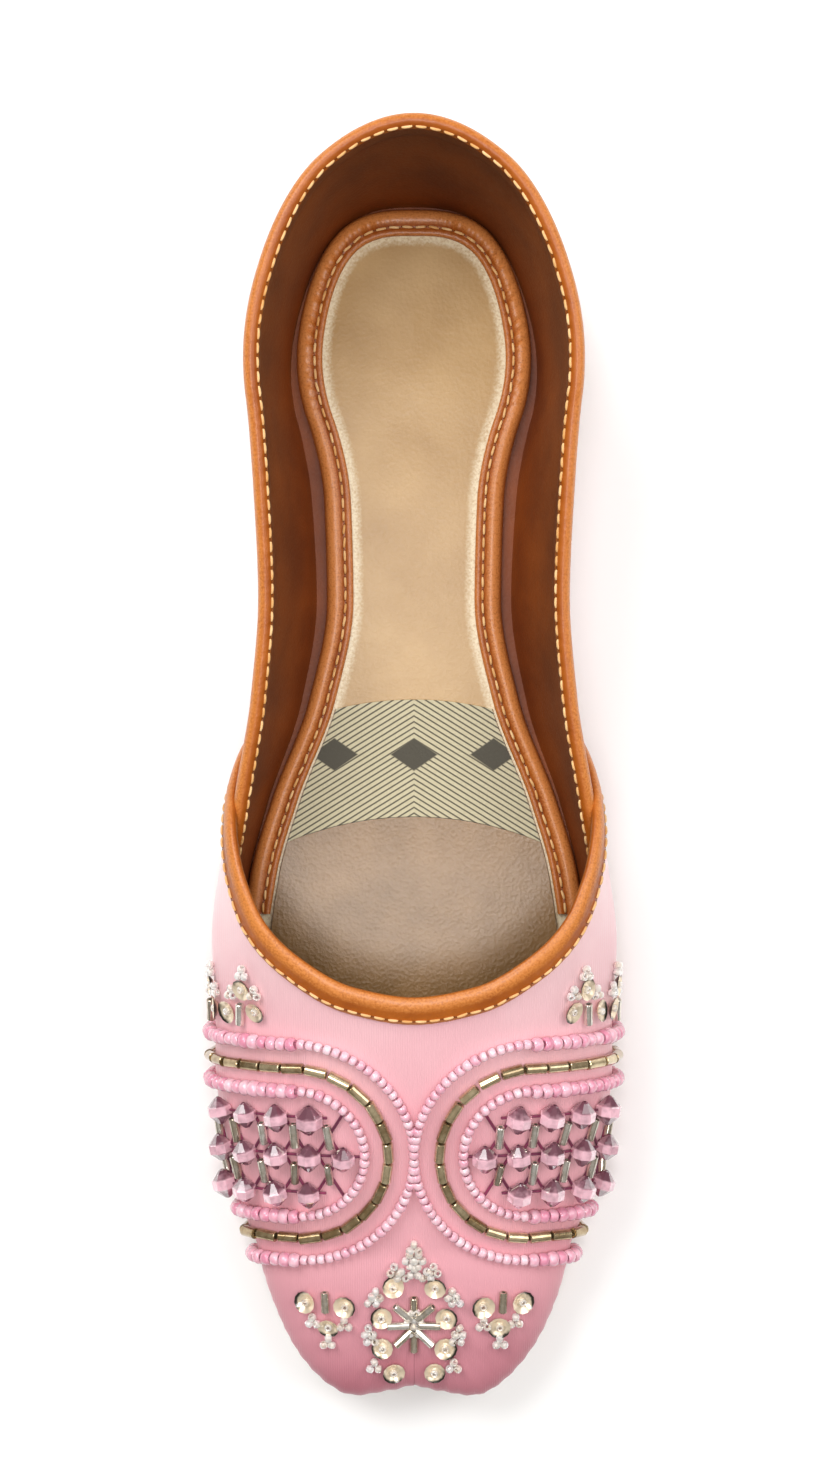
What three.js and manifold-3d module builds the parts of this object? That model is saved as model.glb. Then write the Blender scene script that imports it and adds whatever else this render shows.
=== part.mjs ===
// A mojari: a flat slip-on shoe on a straight last, with a beaded satin vamp lapped over leather-lined
// quarters, leather bound edges, a bound insole and a thin leather sole with a low heel.
// Millimetres, +Z up. The toe points to -Y and the heel to +Y. The origin is on the floor under the middle.
import * as THREE from "three";
import { mergeVertices } from "three/addons/utils/BufferGeometryUtils.js";
import Module from "manifold-3d";

const wasm = await Module();
wasm.setup();

// Driving sizes
const GAP = 0.3; // clearance between pieces that meet
const WALL = 1.8; // satin, canvas and lining of the upper together
const LASTED = 1.6; // thickness of the upper's turned-in lower edge
const LASTED_CLEAR = 0.5; // from that turned-in edge to the insole
const VAMP_LAP = 1.5; // how far the vamp stands out where it covers the quarters
const LAP_FRONT = -50; // the vamp begins to stand out here
const LAP_BACK = -25; // and stands out fully from here
const QUARTER_FRONT = -24; // front end of the quarters, inside the vamp
const SOLE_THICK = 4.2;
const SOLE_MARGIN = 1.3; // sole edge beyond the upper's lower edge
const HEEL_BREAST = 62; // front face of the heel
const HEEL_SET_IN = 0.6; // heel edge inside the sole edge
const HEEL_TOP = 8.2; // the heel block ends inside the sole at this height
const INSOLE_THICK = 3.2;
const INSOLE_SET_IN = 1.9; // board edge inside the outer edge of its binding
const INSOLE_BIND_FRONT = -27; // the insole binding ends here, under the vamp
const COVER_SET_IN = 5.2; // edge of the sock and label inside the binding's outer edge
const SOCK_THICK = 0.8;
const LABEL_THICK = 0.5;
const COVER_ARC = 66; // radius of the curved rear edges of sock and label
const SOCK_BACK = -7.4; // rear edge of the sock on the centre line
const LABEL_BACK = 16.2; // rear edge of the label on the centre line
const STRIP = 1.0; // leather of the bindings
const STRIP_CLEAR = 0.6; // from the bindings to the curved wall inside them
const STRIP_RIM = 1.5; // height of a binding over the edge that it covers
const RIM_SHOULDER = 0.65; // share of that height at which the fold turns in
const RIM_ROUND = 0.4; // the fold begins to round this far below the edge
const COLLAR_STRIP_OUT = 3; // width of the collar binding outside
const COLLAR_STRIP_IN = 5; // and inside
const VAMP_STRIP_OUT = 4; // width of the throat binding outside
const VAMP_STRIP_IN = 2.4; // and inside

// The last, one row for each section from the middle of the toe to the middle of the heel.
// at: where the section's plane crosses the centre line; turn: its swing to the toe (+) or the heel (-),
// in degrees; floor and sole: height and reach of the upper's lower edge; belly and wide: height and
// reach where the wall stands widest; ridge: height of the crown; insole: reach of the bound insole.
const LAST_COLUMNS = ["at", "turn", "floor", "sole", "belly", "wide", "ridge", "insole"];
const LAST_ROWS = [
  [-109.0, 90, 8.6, 10.8, 12.5, 12.0, 16.5, 8.3],
  [-105.4, 72, 8.3, 16.2, 12.4, 17.6, 17.6, 13.5],
  [-101.8, 54, 7.9, 23.5, 12.3, 25.2, 18.8, 20.5],
  [-98.2, 36, 7.4, 26.4, 12.3, 28.2, 20.0, 23.5],
  [-94.6, 18, 6.8, 27.8, 12.5, 29.8, 21.3, 25.0],
  [-91.0, 0, 6.2, 29.8, 12.9, 32.0, 22.6, 27.2],
  [-74.0, 0, 4.8, 34.8, 14.3, 36.9, 29.5, 32.3],
  [-56.0, 0, 4.5, 37.3, 16.0, 39.3, 37.2, 34.8],
  [-38.0, 0, 4.5, 37.3, 18.5, 39.0, 44.8, 34.6],
  [-20.0, 0, 4.5, 35.0, 22.0, 36.8, 54.0, 32.5],
  [-4.0, 0, 5.3, 30.8, 27.0, 34.0, 63.0, 28.0],
  [16.0, 0, 7.2, 23.8, 36.0, 29.9, 74.0, 20.4],
  [36.0, 0, 9.0, 20.6, 42.0, 28.2, 83.0, 16.7],
  [56.0, 0, 10.6, 21.6, 46.0, 28.9, 90.0, 17.2],
  [72.0, 0, 11.5, 24.8, 48.5, 30.1, 94.0, 20.6],
  [80.0, -30, 12.0, 28.0, 51.0, 31.6, 97.0, 25.0],
  [86.0, -60, 12.2, 29.6, 52.0, 32.8, 98.0, 27.0],
  [88.0, -90, 12.3, 27.6, 52.5, 33.5, 98.0, 24.8],
];
const TOE = 0;
const TOE_END = 5; // the last turned section of the toe
const HEEL = LAST_ROWS.length - 1;
const HEEL_SIDE = 14; // the sections beyond this one turn round the heel
const BELLY_CLIMB = 0.35; // share of the climb from sole to ridge that lies below the widest line

// Height of the quarters' top edge along the shoe; s is the row of the last.
const COLLAR_ROWS = [
  { s: 8.7, height: 23.0 },
  { s: 9, height: 26.0 },
  { s: 10, height: 33.5 },
  { s: 11, height: 38.5 },
  { s: 12, height: 42.0 },
  { s: 13, height: 46.0 },
  { s: 14, height: 49.0 },
  { s: 15, height: 52.0 },
  { s: 16, height: 53.5 },
  { s: 17, height: 54.0 },
];

// The insole binding's rolled top: setIn from its outer edge, share of the leather's thickness on top.
const WELT_ROWS = [
  { setIn: 0.5, share: 0.8 },
  { setIn: 1.6, share: 1.3 },
  { setIn: 2.6, share: 1.0 },
];
const WELT_FLANGE = 0.8; // the same share at the binding's inner edge

// The vamp's free edge from the middle of the throat, over the side and down to the sole.
// climb: share of the way up from the sole (0) to the ridge (1).
const THROAT_ROWS = [
  { at: -41.6, climb: 1.0 },
  { at: -39.6, climb: 0.875 },
  { at: -33.6, climb: 0.75 },
  { at: -26.4, climb: 0.645 },
  { at: -18.2, climb: 0.56 },
  { at: -6.0, climb: 0.43 },
  { at: 3.6, climb: 0.29 },
  { at: 11.0, climb: 0.13 },
  { at: 15.5, climb: 0.03 },
];

// Beads, on each side of the vamp; across is measured over the surface from the centre line.
const HORSESHOE = { across: 22.4, at: -71.7 };
const OUTER_ROW = { radius: 22.4, bead: 1.1 };
const BUGLE_ROW = { radius: 17.5, bead: 0.9 };
const INNER_ROW = { radius: 13.0, bead: 1.1 };
const ROW_END = 4; // rows stop this far above the sole
const ROW_STEP = 4.2; // length of a row's straight pieces
const LATTICE = {
  rows: [-63.9, -71.7, -79.5],
  stones: [19.5, 26, 32.5, 39],
  bugles: [16.4, 22.8, 29.2, 35.8],
  from: 14.4,
  to: 41.5,
  stone: 2.2,
  thread: 0.7,
  bugle: 0.9,
};
const FLOWER = { at: -104.8, petals: 8, sequinRing: 7.0, threadRing: 5.4, spokeStart: 1.4 };
const SEQUIN = { radius: 2.0, thick: 0.8, sides: 6 };
const BUGLE = { radius: 0.9, length: 4.6, sides: 4 };
const BUGLE_RAISE = 0.35; // upright bugles lie over the threads of the crystals
const THREAD = { radius: 0.45, sides: 3 };
const SEED_SIDES = 5;
const STONE_SIDES = 4;
const TOE_SPRIG = { across: 17.6, at: -100.5, aim: -1 };
const THROAT_SPRIG = { across: 35.5, at: -44.0, aim: 1 };
const SPRIG_SPREAD = 3.4; // from the sprig's stem to its side sequins
const SPRIG_TIP = 4.0; // from the sprig's middle to its tip sequin
const BED = GAP + 0.3; // clearance of the sewn motifs over the curved vamp

const QUARTER_TURN = Math.PI / 2;
const FULL_TURN = Math.PI * 2;
const DEGREE = Math.PI / 180;
const NUDGE = 1e-3; // step for slopes of the last's surface
const ON_CENTRE = 1e-5; // points this near the centre plane lie on it
const SAME_POINT = 1e-4; // corners this near each other are one
const HALVINGS = 40; // steps of a search between two ends

// Steps of the sections along each piece
const TOE_STEPS = 10;
const BODY_STEPS = 16;
const HEEL_STEPS = 8;
const HEEL_BLOCK_STEPS = 12;
const QUARTER_STEPS = 11;
const VAMP_STEPS = 8;
const THROAT_STEPS = 14;
const WELT_STEPS = 12;
const OUTER_STEPS = 7;
const INNER_STEPS = 7;
const SLICE_STEPS = 64;
const ARC_STEPS = 48;

// A smooth curve through evenly spaced values that never swings past them.
function through(values, t, flatEnds = true) {
  const end = values.length - 1;
  const i = Math.min(Math.max(Math.floor(t), 0), end - 1);
  const rise = (k) => values[k + 1] - values[k];
  const slope = (k) => {
    if (k === 0 || k === end) {
      return flatEnds ? 0 : rise(k === 0 ? 0 : end - 1);
    }
    const before = rise(k - 1);
    const after = rise(k);
    return before * after > 0 ? (2 * before * after) / (before + after) : 0;
  };
  const u = t - i;
  const v = 1 - u;
  const level = values[i] * v * v * (1 + 2 * u) + values[i + 1] * u * u * (1 + 2 * v);
  return level + slope(i) * u * v * v - slope(i + 1) * u * u * v;
}

// The value of t between two ends at which a rising function reaches a target.
function solve(rising, target, from, to) {
  let low = from;
  let high = to;
  for (let k = 0; k < HALVINGS; k += 1) {
    const middle = (low + high) / 2;
    if (rising(middle) < target) {
      low = middle;
    } else {
      high = middle;
    }
  }
  return (low + high) / 2;
}

function smoothStep(from, to, x) {
  const t = Math.min(Math.max((x - from) / (to - from), 0), 1);
  return t * t * (3 - 2 * t);
}

function spaced(from, to, count) {
  return Array.from({ length: count + 1 }, (_, k) => from + ((to - from) * k) / count);
}

// The section of the last at row s, which may lie between two rows.
const column = (k) => LAST_ROWS.map((row) => row[k]);
const lastTable = Object.fromEntries(LAST_COLUMNS.map((name, k) => [name, column(k)]));
function section(s) {
  const row = {};
  for (const name of LAST_COLUMNS) {
    row[name] = through(lastTable[name], s, name !== "turn");
  }
  return row;
}

function sectionRow(at) {
  return solve((s) => section(s).at, at, TOE_END, HEEL_SIDE);
}

// A point of a section's plane, on the left of the shoe (-X).
function inSection(row, reach, height) {
  const turn = row.turn * DEGREE;
  return new THREE.Vector3(-reach * Math.cos(turn), row.at - reach * Math.sin(turn), height);
}

// The last's surface: s runs from toe to heel, climb from the sole (0) over the widest line to the
// ridge (1). Past the ridge, the toe or the heel it goes on down the other side.
function lastPoint(s, climb) {
  if (climb > 1 || s < TOE || s > HEEL) {
    const mirrorRow = s < TOE ? 2 * TOE - s : Math.min(s, 2 * HEEL - s);
    const other = lastPoint(mirrorRow, climb > 1 ? 2 - climb : climb);
    other.x = -other.x;
    return other;
  }
  const row = section(s);
  if (climb < BELLY_CLIMB) {
    const t = climb / BELLY_CLIMB;
    const reach = row.sole + (row.wide - row.sole) * Math.sin(t * QUARTER_TURN);
    return inSection(row, reach, row.floor + (row.belly - row.floor) * t);
  }
  const t = ((climb - BELLY_CLIMB) / (1 - BELLY_CLIMB)) * QUARTER_TURN;
  return inSection(row, row.wide * Math.cos(t), row.belly + (row.ridge - row.belly) * Math.sin(t));
}

function slopes(s, climb) {
  const low = Math.max(climb - NUDGE, 0);
  const along = lastPoint(s + NUDGE, climb).sub(lastPoint(s - NUDGE, climb)).divideScalar(2 * NUDGE);
  const up = lastPoint(s, climb + NUDGE).sub(lastPoint(s, low)).divideScalar(climb + NUDGE - low);
  return { along, up, out: up.clone().cross(along).normalize() };
}

function onLast(s, climb, lift = 0) {
  return lastPoint(s, climb).addScaledVector(slopes(s, climb).out, lift);
}

function climbAt(s, height) {
  return solve((climb) => lastPoint(s, climb).z, height, 0, 1);
}

// The corners of a geometry's triangles, three by three
function cornersOf(geometry) {
  const loose = geometry.index ? geometry.toNonIndexed() : geometry;
  const position = loose.attributes.position;
  const corner = (_, k) => new THREE.Vector3().fromBufferAttribute(position, k);
  return Array.from({ length: position.count }, corner);
}

// Closed solids from rings of points on the left half, mirrored to the right.
function volume(corners) {
  let six = 0;
  for (let k = 0; k < corners.length; k += 3) {
    six += corners[k].dot(corners[k + 1].clone().cross(corners[k + 2]));
  }
  return six / 6;
}

function solidFrom(corners) {
  const snapped = corners.map((p) => new THREE.Vector3(Math.abs(p.x) < ON_CENTRE ? 0 : p.x, p.y, p.z));
  const geometry = mergeVertices(new THREE.BufferGeometry().setFromPoints(snapped), SAME_POINT);
  const index = geometry.index.array;
  const faces = [];
  for (let k = 0; k < index.length; k += 3) {
    const [a, b, c] = [index[k], index[k + 1], index[k + 2]];
    if (a !== b && b !== c && c !== a) {
      faces.push(a, b, c);
    }
  }
  if (volume(snapped) < 0) {
    faces.reverse();
  }
  const vertProperties = new Float32Array(geometry.attributes.position.array);
  const mesh = new wasm.Mesh({ numProp: 3, vertProperties, triVerts: new Uint32Array(faces) });
  mesh.merge();
  return new wasm.Manifold(mesh);
}

function mirrored(corners) {
  const other = [];
  for (let k = 0; k < corners.length; k += 3) {
    for (const p of [corners[k], corners[k + 2], corners[k + 1]]) {
      other.push(new THREE.Vector3(-p.x, p.y, p.z));
    }
  }
  return [...corners, ...other];
}

function cap(ring, profile, outward) {
  const faces = THREE.ShapeUtils.triangulateShape(profile, []);
  const facing = new THREE.Vector3();
  for (const [a, b, c] of faces) {
    facing.add(ring[b].clone().sub(ring[a]).cross(ring[c].clone().sub(ring[a])));
  }
  const turned = facing.dot(outward) < 0;
  return faces.flatMap(([a, b, c]) => (turned ? [a, c, b] : [a, b, c])).map((k) => ring[k]);
}

// Skin over consecutive rings. open(i, k) leaves out the face at ring i's edge k, on the centre plane.
// profile is the ring's flat outline, given where the first or last ring is closed by a cap.
function loft(rings, { open = () => false, startProfile = null, endProfile = null } = {}) {
  const corners = [];
  for (let i = 0; i + 1 < rings.length; i += 1) {
    const [here, next] = [rings[i], rings[i + 1]];
    for (let k = 0; k < here.length; k += 1) {
      const m = (k + 1) % here.length;
      if (!open(i, k)) {
        corners.push(here[k], here[m], next[m], here[k], next[m], next[k]);
      }
    }
  }
  const heading = (from, to) => to[0].clone().sub(from[0]);
  if (startProfile) {
    corners.push(...cap(rings[0], startProfile, heading(rings[1], rings[0])));
  }
  if (endProfile) {
    const [before, end] = rings.slice(-2);
    corners.push(...cap(end, endProfile, heading(before, end)));
  }
  return corners;
}

const flatRing = (ring) => ring.map((p) => new THREE.Vector2(p.x, p.z));

// A thin wall on the last with its lower edge turned in. Each station has its row s and its top's climb.
function wallSheet(stations, { lift = () => 0, grow = 0, startClosed = false, endClosed = false }) {
  const rings = stations.map(({ s, top }) => {
    const row = section(s);
    const outerLift = lift(row.at) + grow;
    const innerLift = lift(row.at) - WALL - grow;
    const foot = Math.min(climbAt(s, row.floor + LASTED), top / 2);
    const outer = spaced(0, top, OUTER_STEPS).map((climb) => onLast(s, climb, outerLift));
    const inner = spaced(top, foot, INNER_STEPS).map((climb) => onLast(s, climb, innerLift));
    const turnedIn = row.insole + LASTED_CLEAR;
    outer[0].z = row.floor;
    const edge = [inSection(row, turnedIn, inner[INNER_STEPS].z), inSection(row, turnedIn, row.floor)];
    return [...outer, ...inner, ...edge];
  });
  return loft(rings, {
    open: (i, k) => k === OUTER_STEPS && stations[i].top === 1 && stations[i + 1].top === 1,
    startProfile: startClosed ? flatRing(rings[0]) : null,
    endProfile: endClosed ? flatRing(rings.at(-1)) : null,
  });
}

// A flat layer between two heights over the lower edge, as wide as the reach given for each section.
function layer(stations, reachOf, low, high) {
  const rings = stations.map((s) => {
    const row = section(s);
    const reach = reachOf(row);
    const corner = (out, lift) => inSection(row, out, row.floor + lift);
    return [corner(reach, low), corner(reach, high), corner(0, high), corner(0, low)];
  });
  return solidFrom(mirrored(loft(rings, { open: (i, k) => k === 2 })));
}

const BODY_STATIONS = [
  ...spaced(TOE, TOE_END, TOE_STEPS),
  ...spaced(TOE_END, HEEL_SIDE, BODY_STEPS).slice(1),
  ...spaced(HEEL_SIDE, HEEL, HEEL_STEPS).slice(1),
];

// Outsole: a bent slab with the heel block under its back
function outsole() {
  const reach = (row) => row.sole + SOLE_MARGIN;
  const slab = layer(BODY_STATIONS, reach, -GAP - SOLE_THICK, -GAP);
  const outline = new THREE.Shape();
  const heelStations = spaced(sectionRow(HEEL_BREAST), HEEL, HEEL_BLOCK_STEPS);
  const leftEdge = heelStations.map((s) => {
    const row = section(s);
    return inSection(row, reach(row) - HEEL_SET_IN, 0);
  });
  const rightEdge = leftEdge.slice(0, -1).reverse().map((p) => new THREE.Vector3(-p.x, p.y, 0));
  outline.setFromPoints([...leftEdge, ...rightEdge].map((p) => new THREE.Vector2(p.x, p.y)));
  const block = new THREE.ExtrudeGeometry(outline, { depth: HEEL_TOP, bevelEnabled: false });
  return slab.add(solidFrom(cornersOf(block)));
}

// Upper: the quarters round the heel, and the vamp lapped over their front ends
const vampLift = (at) => VAMP_LAP * smoothStep(LAP_FRONT, LAP_BACK, at);

function quarterStations() {
  const front = sectionRow(QUARTER_FRONT);
  const sides = spaced(front, HEEL_SIDE, QUARTER_STEPS);
  const rows = [...sides, ...spaced(HEEL_SIDE, HEEL, HEEL_STEPS).slice(1)];
  return rows.map((s) => ({ s, top: climbAt(s, collarHeight(s)) }));
}

function collarHeight(s) {
  const k = COLLAR_ROWS.findIndex((row) => row.s >= s);
  const after = Math.max(k, 1);
  const [a, b] = [COLLAR_ROWS[after - 1], COLLAR_ROWS[after]];
  const t = after - 1 + (s - a.s) / (b.s - a.s);
  return through(COLLAR_ROWS.map((row) => row.height), t);
}

function throatStations() {
  const at = THROAT_ROWS.map((row) => row.at);
  const climb = THROAT_ROWS.map((row) => row.climb);
  const end = THROAT_ROWS.length - 1;
  return spaced(0, end, THROAT_STEPS).map((t) => {
    return { s: sectionRow(through(at, t)), top: t === 0 ? 1 : through(climb, t, false) };
  });
}

function vampStations() {
  const throat = throatStations();
  const toe = spaced(TOE, TOE_END, TOE_STEPS);
  const front = spaced(TOE_END, throat[0].s, VAMP_STEPS).slice(1, -1);
  return [...[...toe, ...front].map((s) => ({ s, top: 1 })), ...throat];
}

function quarters(grow = 0) {
  return solidFrom(mirrored(wallSheet(quarterStations(), { grow, startClosed: true })));
}

function vamp(grow = 0) {
  return solidFrom(mirrored(wallSheet(vampStations(), { lift: vampLift, grow, endClosed: true })));
}

// A leather strip folded over a free edge: a profile of depth below the edge and distance off the wall.
function foldedStrip(outside, inside) {
  const face = STRIP_CLEAR + STRIP;
  const shoulder = face - STRIP * RIM_SHOULDER;
  const turn = -STRIP_RIM * RIM_SHOULDER;
  return [
    [outside, STRIP_CLEAR],
    [outside, face],
    [RIM_ROUND, face],
    [turn, shoulder],
    [-STRIP_RIM, -WALL / 2],
    [turn, -WALL - shoulder],
    [RIM_ROUND, -WALL - face],
    [inside, -WALL - face],
    [inside, -WALL - STRIP_CLEAR],
    [-GAP, -WALL - STRIP_CLEAR],
    [-GAP, STRIP_CLEAR],
  ];
}

// The same strip with its clearance, and with no slot for the wall, to cut room for it.
function stripRoom(outside, inside) {
  const face = STRIP_CLEAR + STRIP + GAP;
  return [
    [outside + GAP, face],
    [-STRIP_RIM * RIM_SHOULDER, face],
    [-STRIP_RIM - GAP, -WALL / 2],
    [-STRIP_RIM * RIM_SHOULDER, -WALL - face],
    [inside + GAP, -WALL - face],
  ];
}

// Sweeps a profile along an edge on the last, from its free start to where it meets the centre plane.
function alongEdge(edge, profile, lift) {
  const spots = edge.map(({ s, top }) => onLast(s, top, lift(section(s).at)));
  const rings = edge.map(({ s, top }, i) => {
    const ahead = spots[Math.min(i + 1, edge.length - 1)];
    const behind = spots[Math.max(i - 1, 0)];
    const { along, up, out } = slopes(s, top);
    const heading = ahead.clone().sub(behind);
    if (Math.abs(spots[i].x) < ON_CENTRE) {
      heading.set(heading.x, 0, 0);
    }
    const inward = out.clone().cross(heading).normalize();
    return profile.map(([depth, off]) => {
      if (depth <= 0) {
        return spots[i].clone().addScaledVector(inward, depth).addScaledVector(out, off);
      }
      const [aa, au, uu] = [along.dot(along), along.dot(up), up.dot(up)];
      const [ia, iu] = [inward.dot(along) * depth, inward.dot(up) * depth];
      const scale = 1 / (aa * uu - au * au);
      const s2 = s + (ia * uu - iu * au) * scale;
      const climb = top + (iu * aa - ia * au) * scale;
      return onLast(s2, climb, lift(section(s2).at) + off);
    });
  });
  const flat = profile.map(([depth, off]) => new THREE.Vector2(depth, off));
  return { rings, flat };
}

function collarStrip(profile) {
  const { rings, flat } = alongEdge(quarterStations().slice(1), profile, () => 0);
  return solidFrom(mirrored(loft(rings, { startProfile: flat })));
}

function vampStrip(profile) {
  const { rings, flat } = alongEdge(throatStations(), profile, vampLift);
  return solidFrom(mirrored(loft(rings, { endProfile: flat })));
}

// Insole and what lies on it
const insoleBoard = () => layer(BODY_STATIONS, (row) => row.insole - INSOLE_SET_IN, 0, INSOLE_THICK);

function insoleBinding() {
  const top = INSOLE_THICK + GAP;
  const inner = INSOLE_SET_IN - GAP;
  const flange = COVER_SET_IN - 2 * GAP;
  const profile = [
    [0, GAP],
    [0, INSOLE_THICK],
    ...WELT_ROWS.map(({ setIn, share }) => [setIn, top + STRIP * share]),
    [flange, top + STRIP * WELT_FLANGE],
    [flange, top],
    [inner, top],
    [inner, GAP],
  ];
  const stations = [
    ...spaced(sectionRow(INSOLE_BIND_FRONT), HEEL_SIDE, WELT_STEPS),
    ...spaced(HEEL_SIDE, HEEL, HEEL_STEPS).slice(1),
  ];
  const rings = stations.map((s) => {
    const row = section(s);
    return profile.map(([setIn, height]) => inSection(row, row.insole - setIn, row.floor + height));
  });
  const flat = profile.map(([setIn, height]) => new THREE.Vector2(setIn, height));
  return solidFrom(mirrored(loft(rings, { startProfile: flat })));
}

// A tall round block whose back lies at the rear edge of a cover
function coverArc(back, grow = 0) {
  const radius = COVER_ARC + grow;
  const round = new THREE.CylinderGeometry(radius, radius, COVER_ARC, ARC_STEPS);
  round.rotateX(QUARTER_TURN);
  round.translate(0, back - COVER_ARC, 0);
  return solidFrom(cornersOf(round));
}

function cover(thick) {
  const low = INSOLE_THICK + GAP;
  return layer(BODY_STATIONS, (row) => row.insole - COVER_SET_IN, low, low + thick);
}

const forefootSock = () => cover(SOCK_THICK).intersect(coverArc(SOCK_BACK));
const labelPatch = () => {
  const reachingForward = cover(LABEL_THICK).intersect(coverArc(LABEL_BACK));
  return reachingForward.subtract(coverArc(SOCK_BACK, GAP));
};

// The vamp's outer face cut at one place along the shoe, from the ridge down the left side to the sole
const slices = new Map();
function slice(at) {
  if (!slices.has(at)) {
    const row = (climb) => solve((s) => lastPoint(s, climb).y, at, TOE, HEEL_SIDE);
    const toeClimb = at < lastTable.at[TOE] ? solve((c) => -lastPoint(TOE, 1 - c).y, -at, 0, 1) : 0;
    const spots = spaced(1 - toeClimb, 0, SLICE_STEPS).map((climb) => {
      const s = row(climb);
      return { spot: onLast(s, climb, vampLift(section(s).at)), out: slopes(s, climb).out };
    });
    let length = 0;
    spots.forEach((here, k) => {
      length += k ? here.spot.distanceTo(spots[k - 1].spot) : 0;
      here.across = length;
    });
    slices.set(at, spots);
  }
  return slices.get(at);
}

// A place on the vamp: at along the shoe, across over the surface from the centre line, lift above it,
// and the radius of what lies there.
function onVamp(at, across, lift, radius = 0) {
  const spots = slice(at);
  const side = across < 0 ? -1 : 1;
  const reach = Math.abs(across);
  const k = Math.max(spots.findIndex((spot) => spot.across >= reach), 1);
  const [a, b] = [spots[k - 1], spots[k]];
  const t = (reach - a.across) / (b.across - a.across);
  const out = a.out.clone().lerp(b.out, t).normalize();
  const place = a.spot.clone().lerp(b.spot, t).addScaledVector(out, lift);
  out.x *= side;
  place.x *= side;
  return { place, out, radius };
}

const sideLength = (at) => slice(at).at(-1).across;

// A round string through places on the vamp, each with its own radius. A loop joins its end to its start.
function string(places, sides, loop = false) {
  const end = places.length - 1;
  const rings = places.map(({ place, out, radius }, i) => {
    const ahead = places[i < end ? i + 1 : loop ? 0 : end].place;
    const behind = places[i > 0 ? i - 1 : loop ? end : 0].place;
    const beside = ahead.clone().sub(behind).cross(out).normalize();
    const rise = beside.clone().cross(ahead.clone().sub(behind)).normalize();
    return Array.from({ length: sides }, (_, k) => {
      const turn = (FULL_TURN * k) / sides;
      const swing = rise.clone().multiplyScalar(Math.cos(turn)).addScaledVector(beside, Math.sin(turn));
      return place.clone().addScaledVector(swing, radius);
    });
  });
  const flat = rings[0].map((_, k) => {
    const turn = (FULL_TURN * k) / sides;
    return new THREE.Vector2(Math.cos(turn), Math.sin(turn));
  });
  if (loop) {
    return solidFrom(loft([...rings, rings[0]]));
  }
  return solidFrom(loft(rings, { startProfile: flat, endProfile: flat }));
}

// A row of beads: in along the vamp's side, round the horseshoe, and out again. side is 1 left, -1 right.
function horseshoe({ radius, bead }, side) {
  const lift = bead + BED;
  const arm = (at) => {
    const length = sideLength(at) - ROW_END - HORSESHOE.across;
    return spaced(length, 0, Math.round(length / ROW_STEP)).map((out) => [at, HORSESHOE.across + out]);
  };
  const bend = spaced(0, Math.PI, Math.round((radius * Math.PI) / ROW_STEP)).map((turn) => {
    return [HORSESHOE.at + radius * Math.cos(turn), HORSESHOE.across - radius * Math.sin(turn)];
  });
  const [back, front] = [HORSESHOE.at + radius, HORSESHOE.at - radius];
  const route = [...arm(back).slice(0, -1), ...bend, ...arm(front).reverse().slice(1)];
  return string(route.map(([at, across]) => onVamp(at, across * side, lift, bead)), SEED_SIDES);
}

const toHeel = new THREE.Vector3(0, 1, 0);

// A small solid set on the vamp with its Z axis standing out of it
function setOn(geometry, { place, out }) {
  const beside = toHeel.clone().cross(out).normalize();
  const forward = out.clone().cross(beside).normalize();
  geometry.applyMatrix4(new THREE.Matrix4().makeBasis(beside, forward, out).setPosition(place));
  return solidFrom(cornersOf(geometry));
}

// Crosswise rows of crystals, each a swelling of its thread, with bugles standing between the rows
function crystalLattice(side) {
  const { rows, stones, bugles, from, to, stone, thread, bugle } = LATTICE;
  const lift = stone + BED;
  const spot = (at, across, radius) => onVamp(at, across * side, lift, radius);
  const bugleSpot = (at, across) => onVamp(at, across * side, lift + BUGLE_RAISE, bugle);
  const solids = rows.map((at) => {
    const beads = stones.flatMap((across) => [
      spot(at, across - stone, thread),
      spot(at, across, stone),
      spot(at, across + stone, thread),
    ]);
    return string([spot(at, from, thread), ...beads, spot(at, to, thread)], STONE_SIDES);
  });
  for (const [front, back] of [[rows[1], rows[0]], [rows[2], rows[1]]]) {
    for (const across of bugles) {
      solids.push(string([bugleSpot(front, across), bugleSpot(back, across)], BUGLE.sides));
    }
  }
  return wasm.Manifold.union(solids);
}

function sequin(place) {
  const { radius, thick, sides } = SEQUIN;
  const disc = new THREE.CylinderGeometry(radius, radius, thick, sides);
  disc.rotateX(QUARTER_TURN);
  return setOn(disc, place);
}

const sewnLift = BED + BUGLE.radius;

// A ring of sequins on a round thread, with bugle spokes from a middle sequin
function toeFlower() {
  const { petals, sequinRing, threadRing, spokeStart } = FLOWER;
  const spot = (turn, reach, radius) => {
    return onVamp(FLOWER.at + reach * Math.cos(turn), reach * Math.sin(turn), sewnLift, radius);
  };
  const turns = spaced(0, FULL_TURN, petals).slice(0, -1);
  const threadTurns = spaced(0, FULL_TURN, 2 * petals).slice(0, -1);
  return wasm.Manifold.union([
    sequin(spot(0, 0)),
    string(threadTurns.map((turn) => spot(turn, threadRing, THREAD.radius)), THREAD.sides, true),
    ...turns.map((turn) => {
      return string([spokeStart, threadRing].map((reach) => spot(turn, reach, BUGLE.radius)), BUGLE.sides);
    }),
    ...turns.map((turn) => sequin(spot(turn + Math.PI / petals, sequinRing))),
  ]);
}

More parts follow.
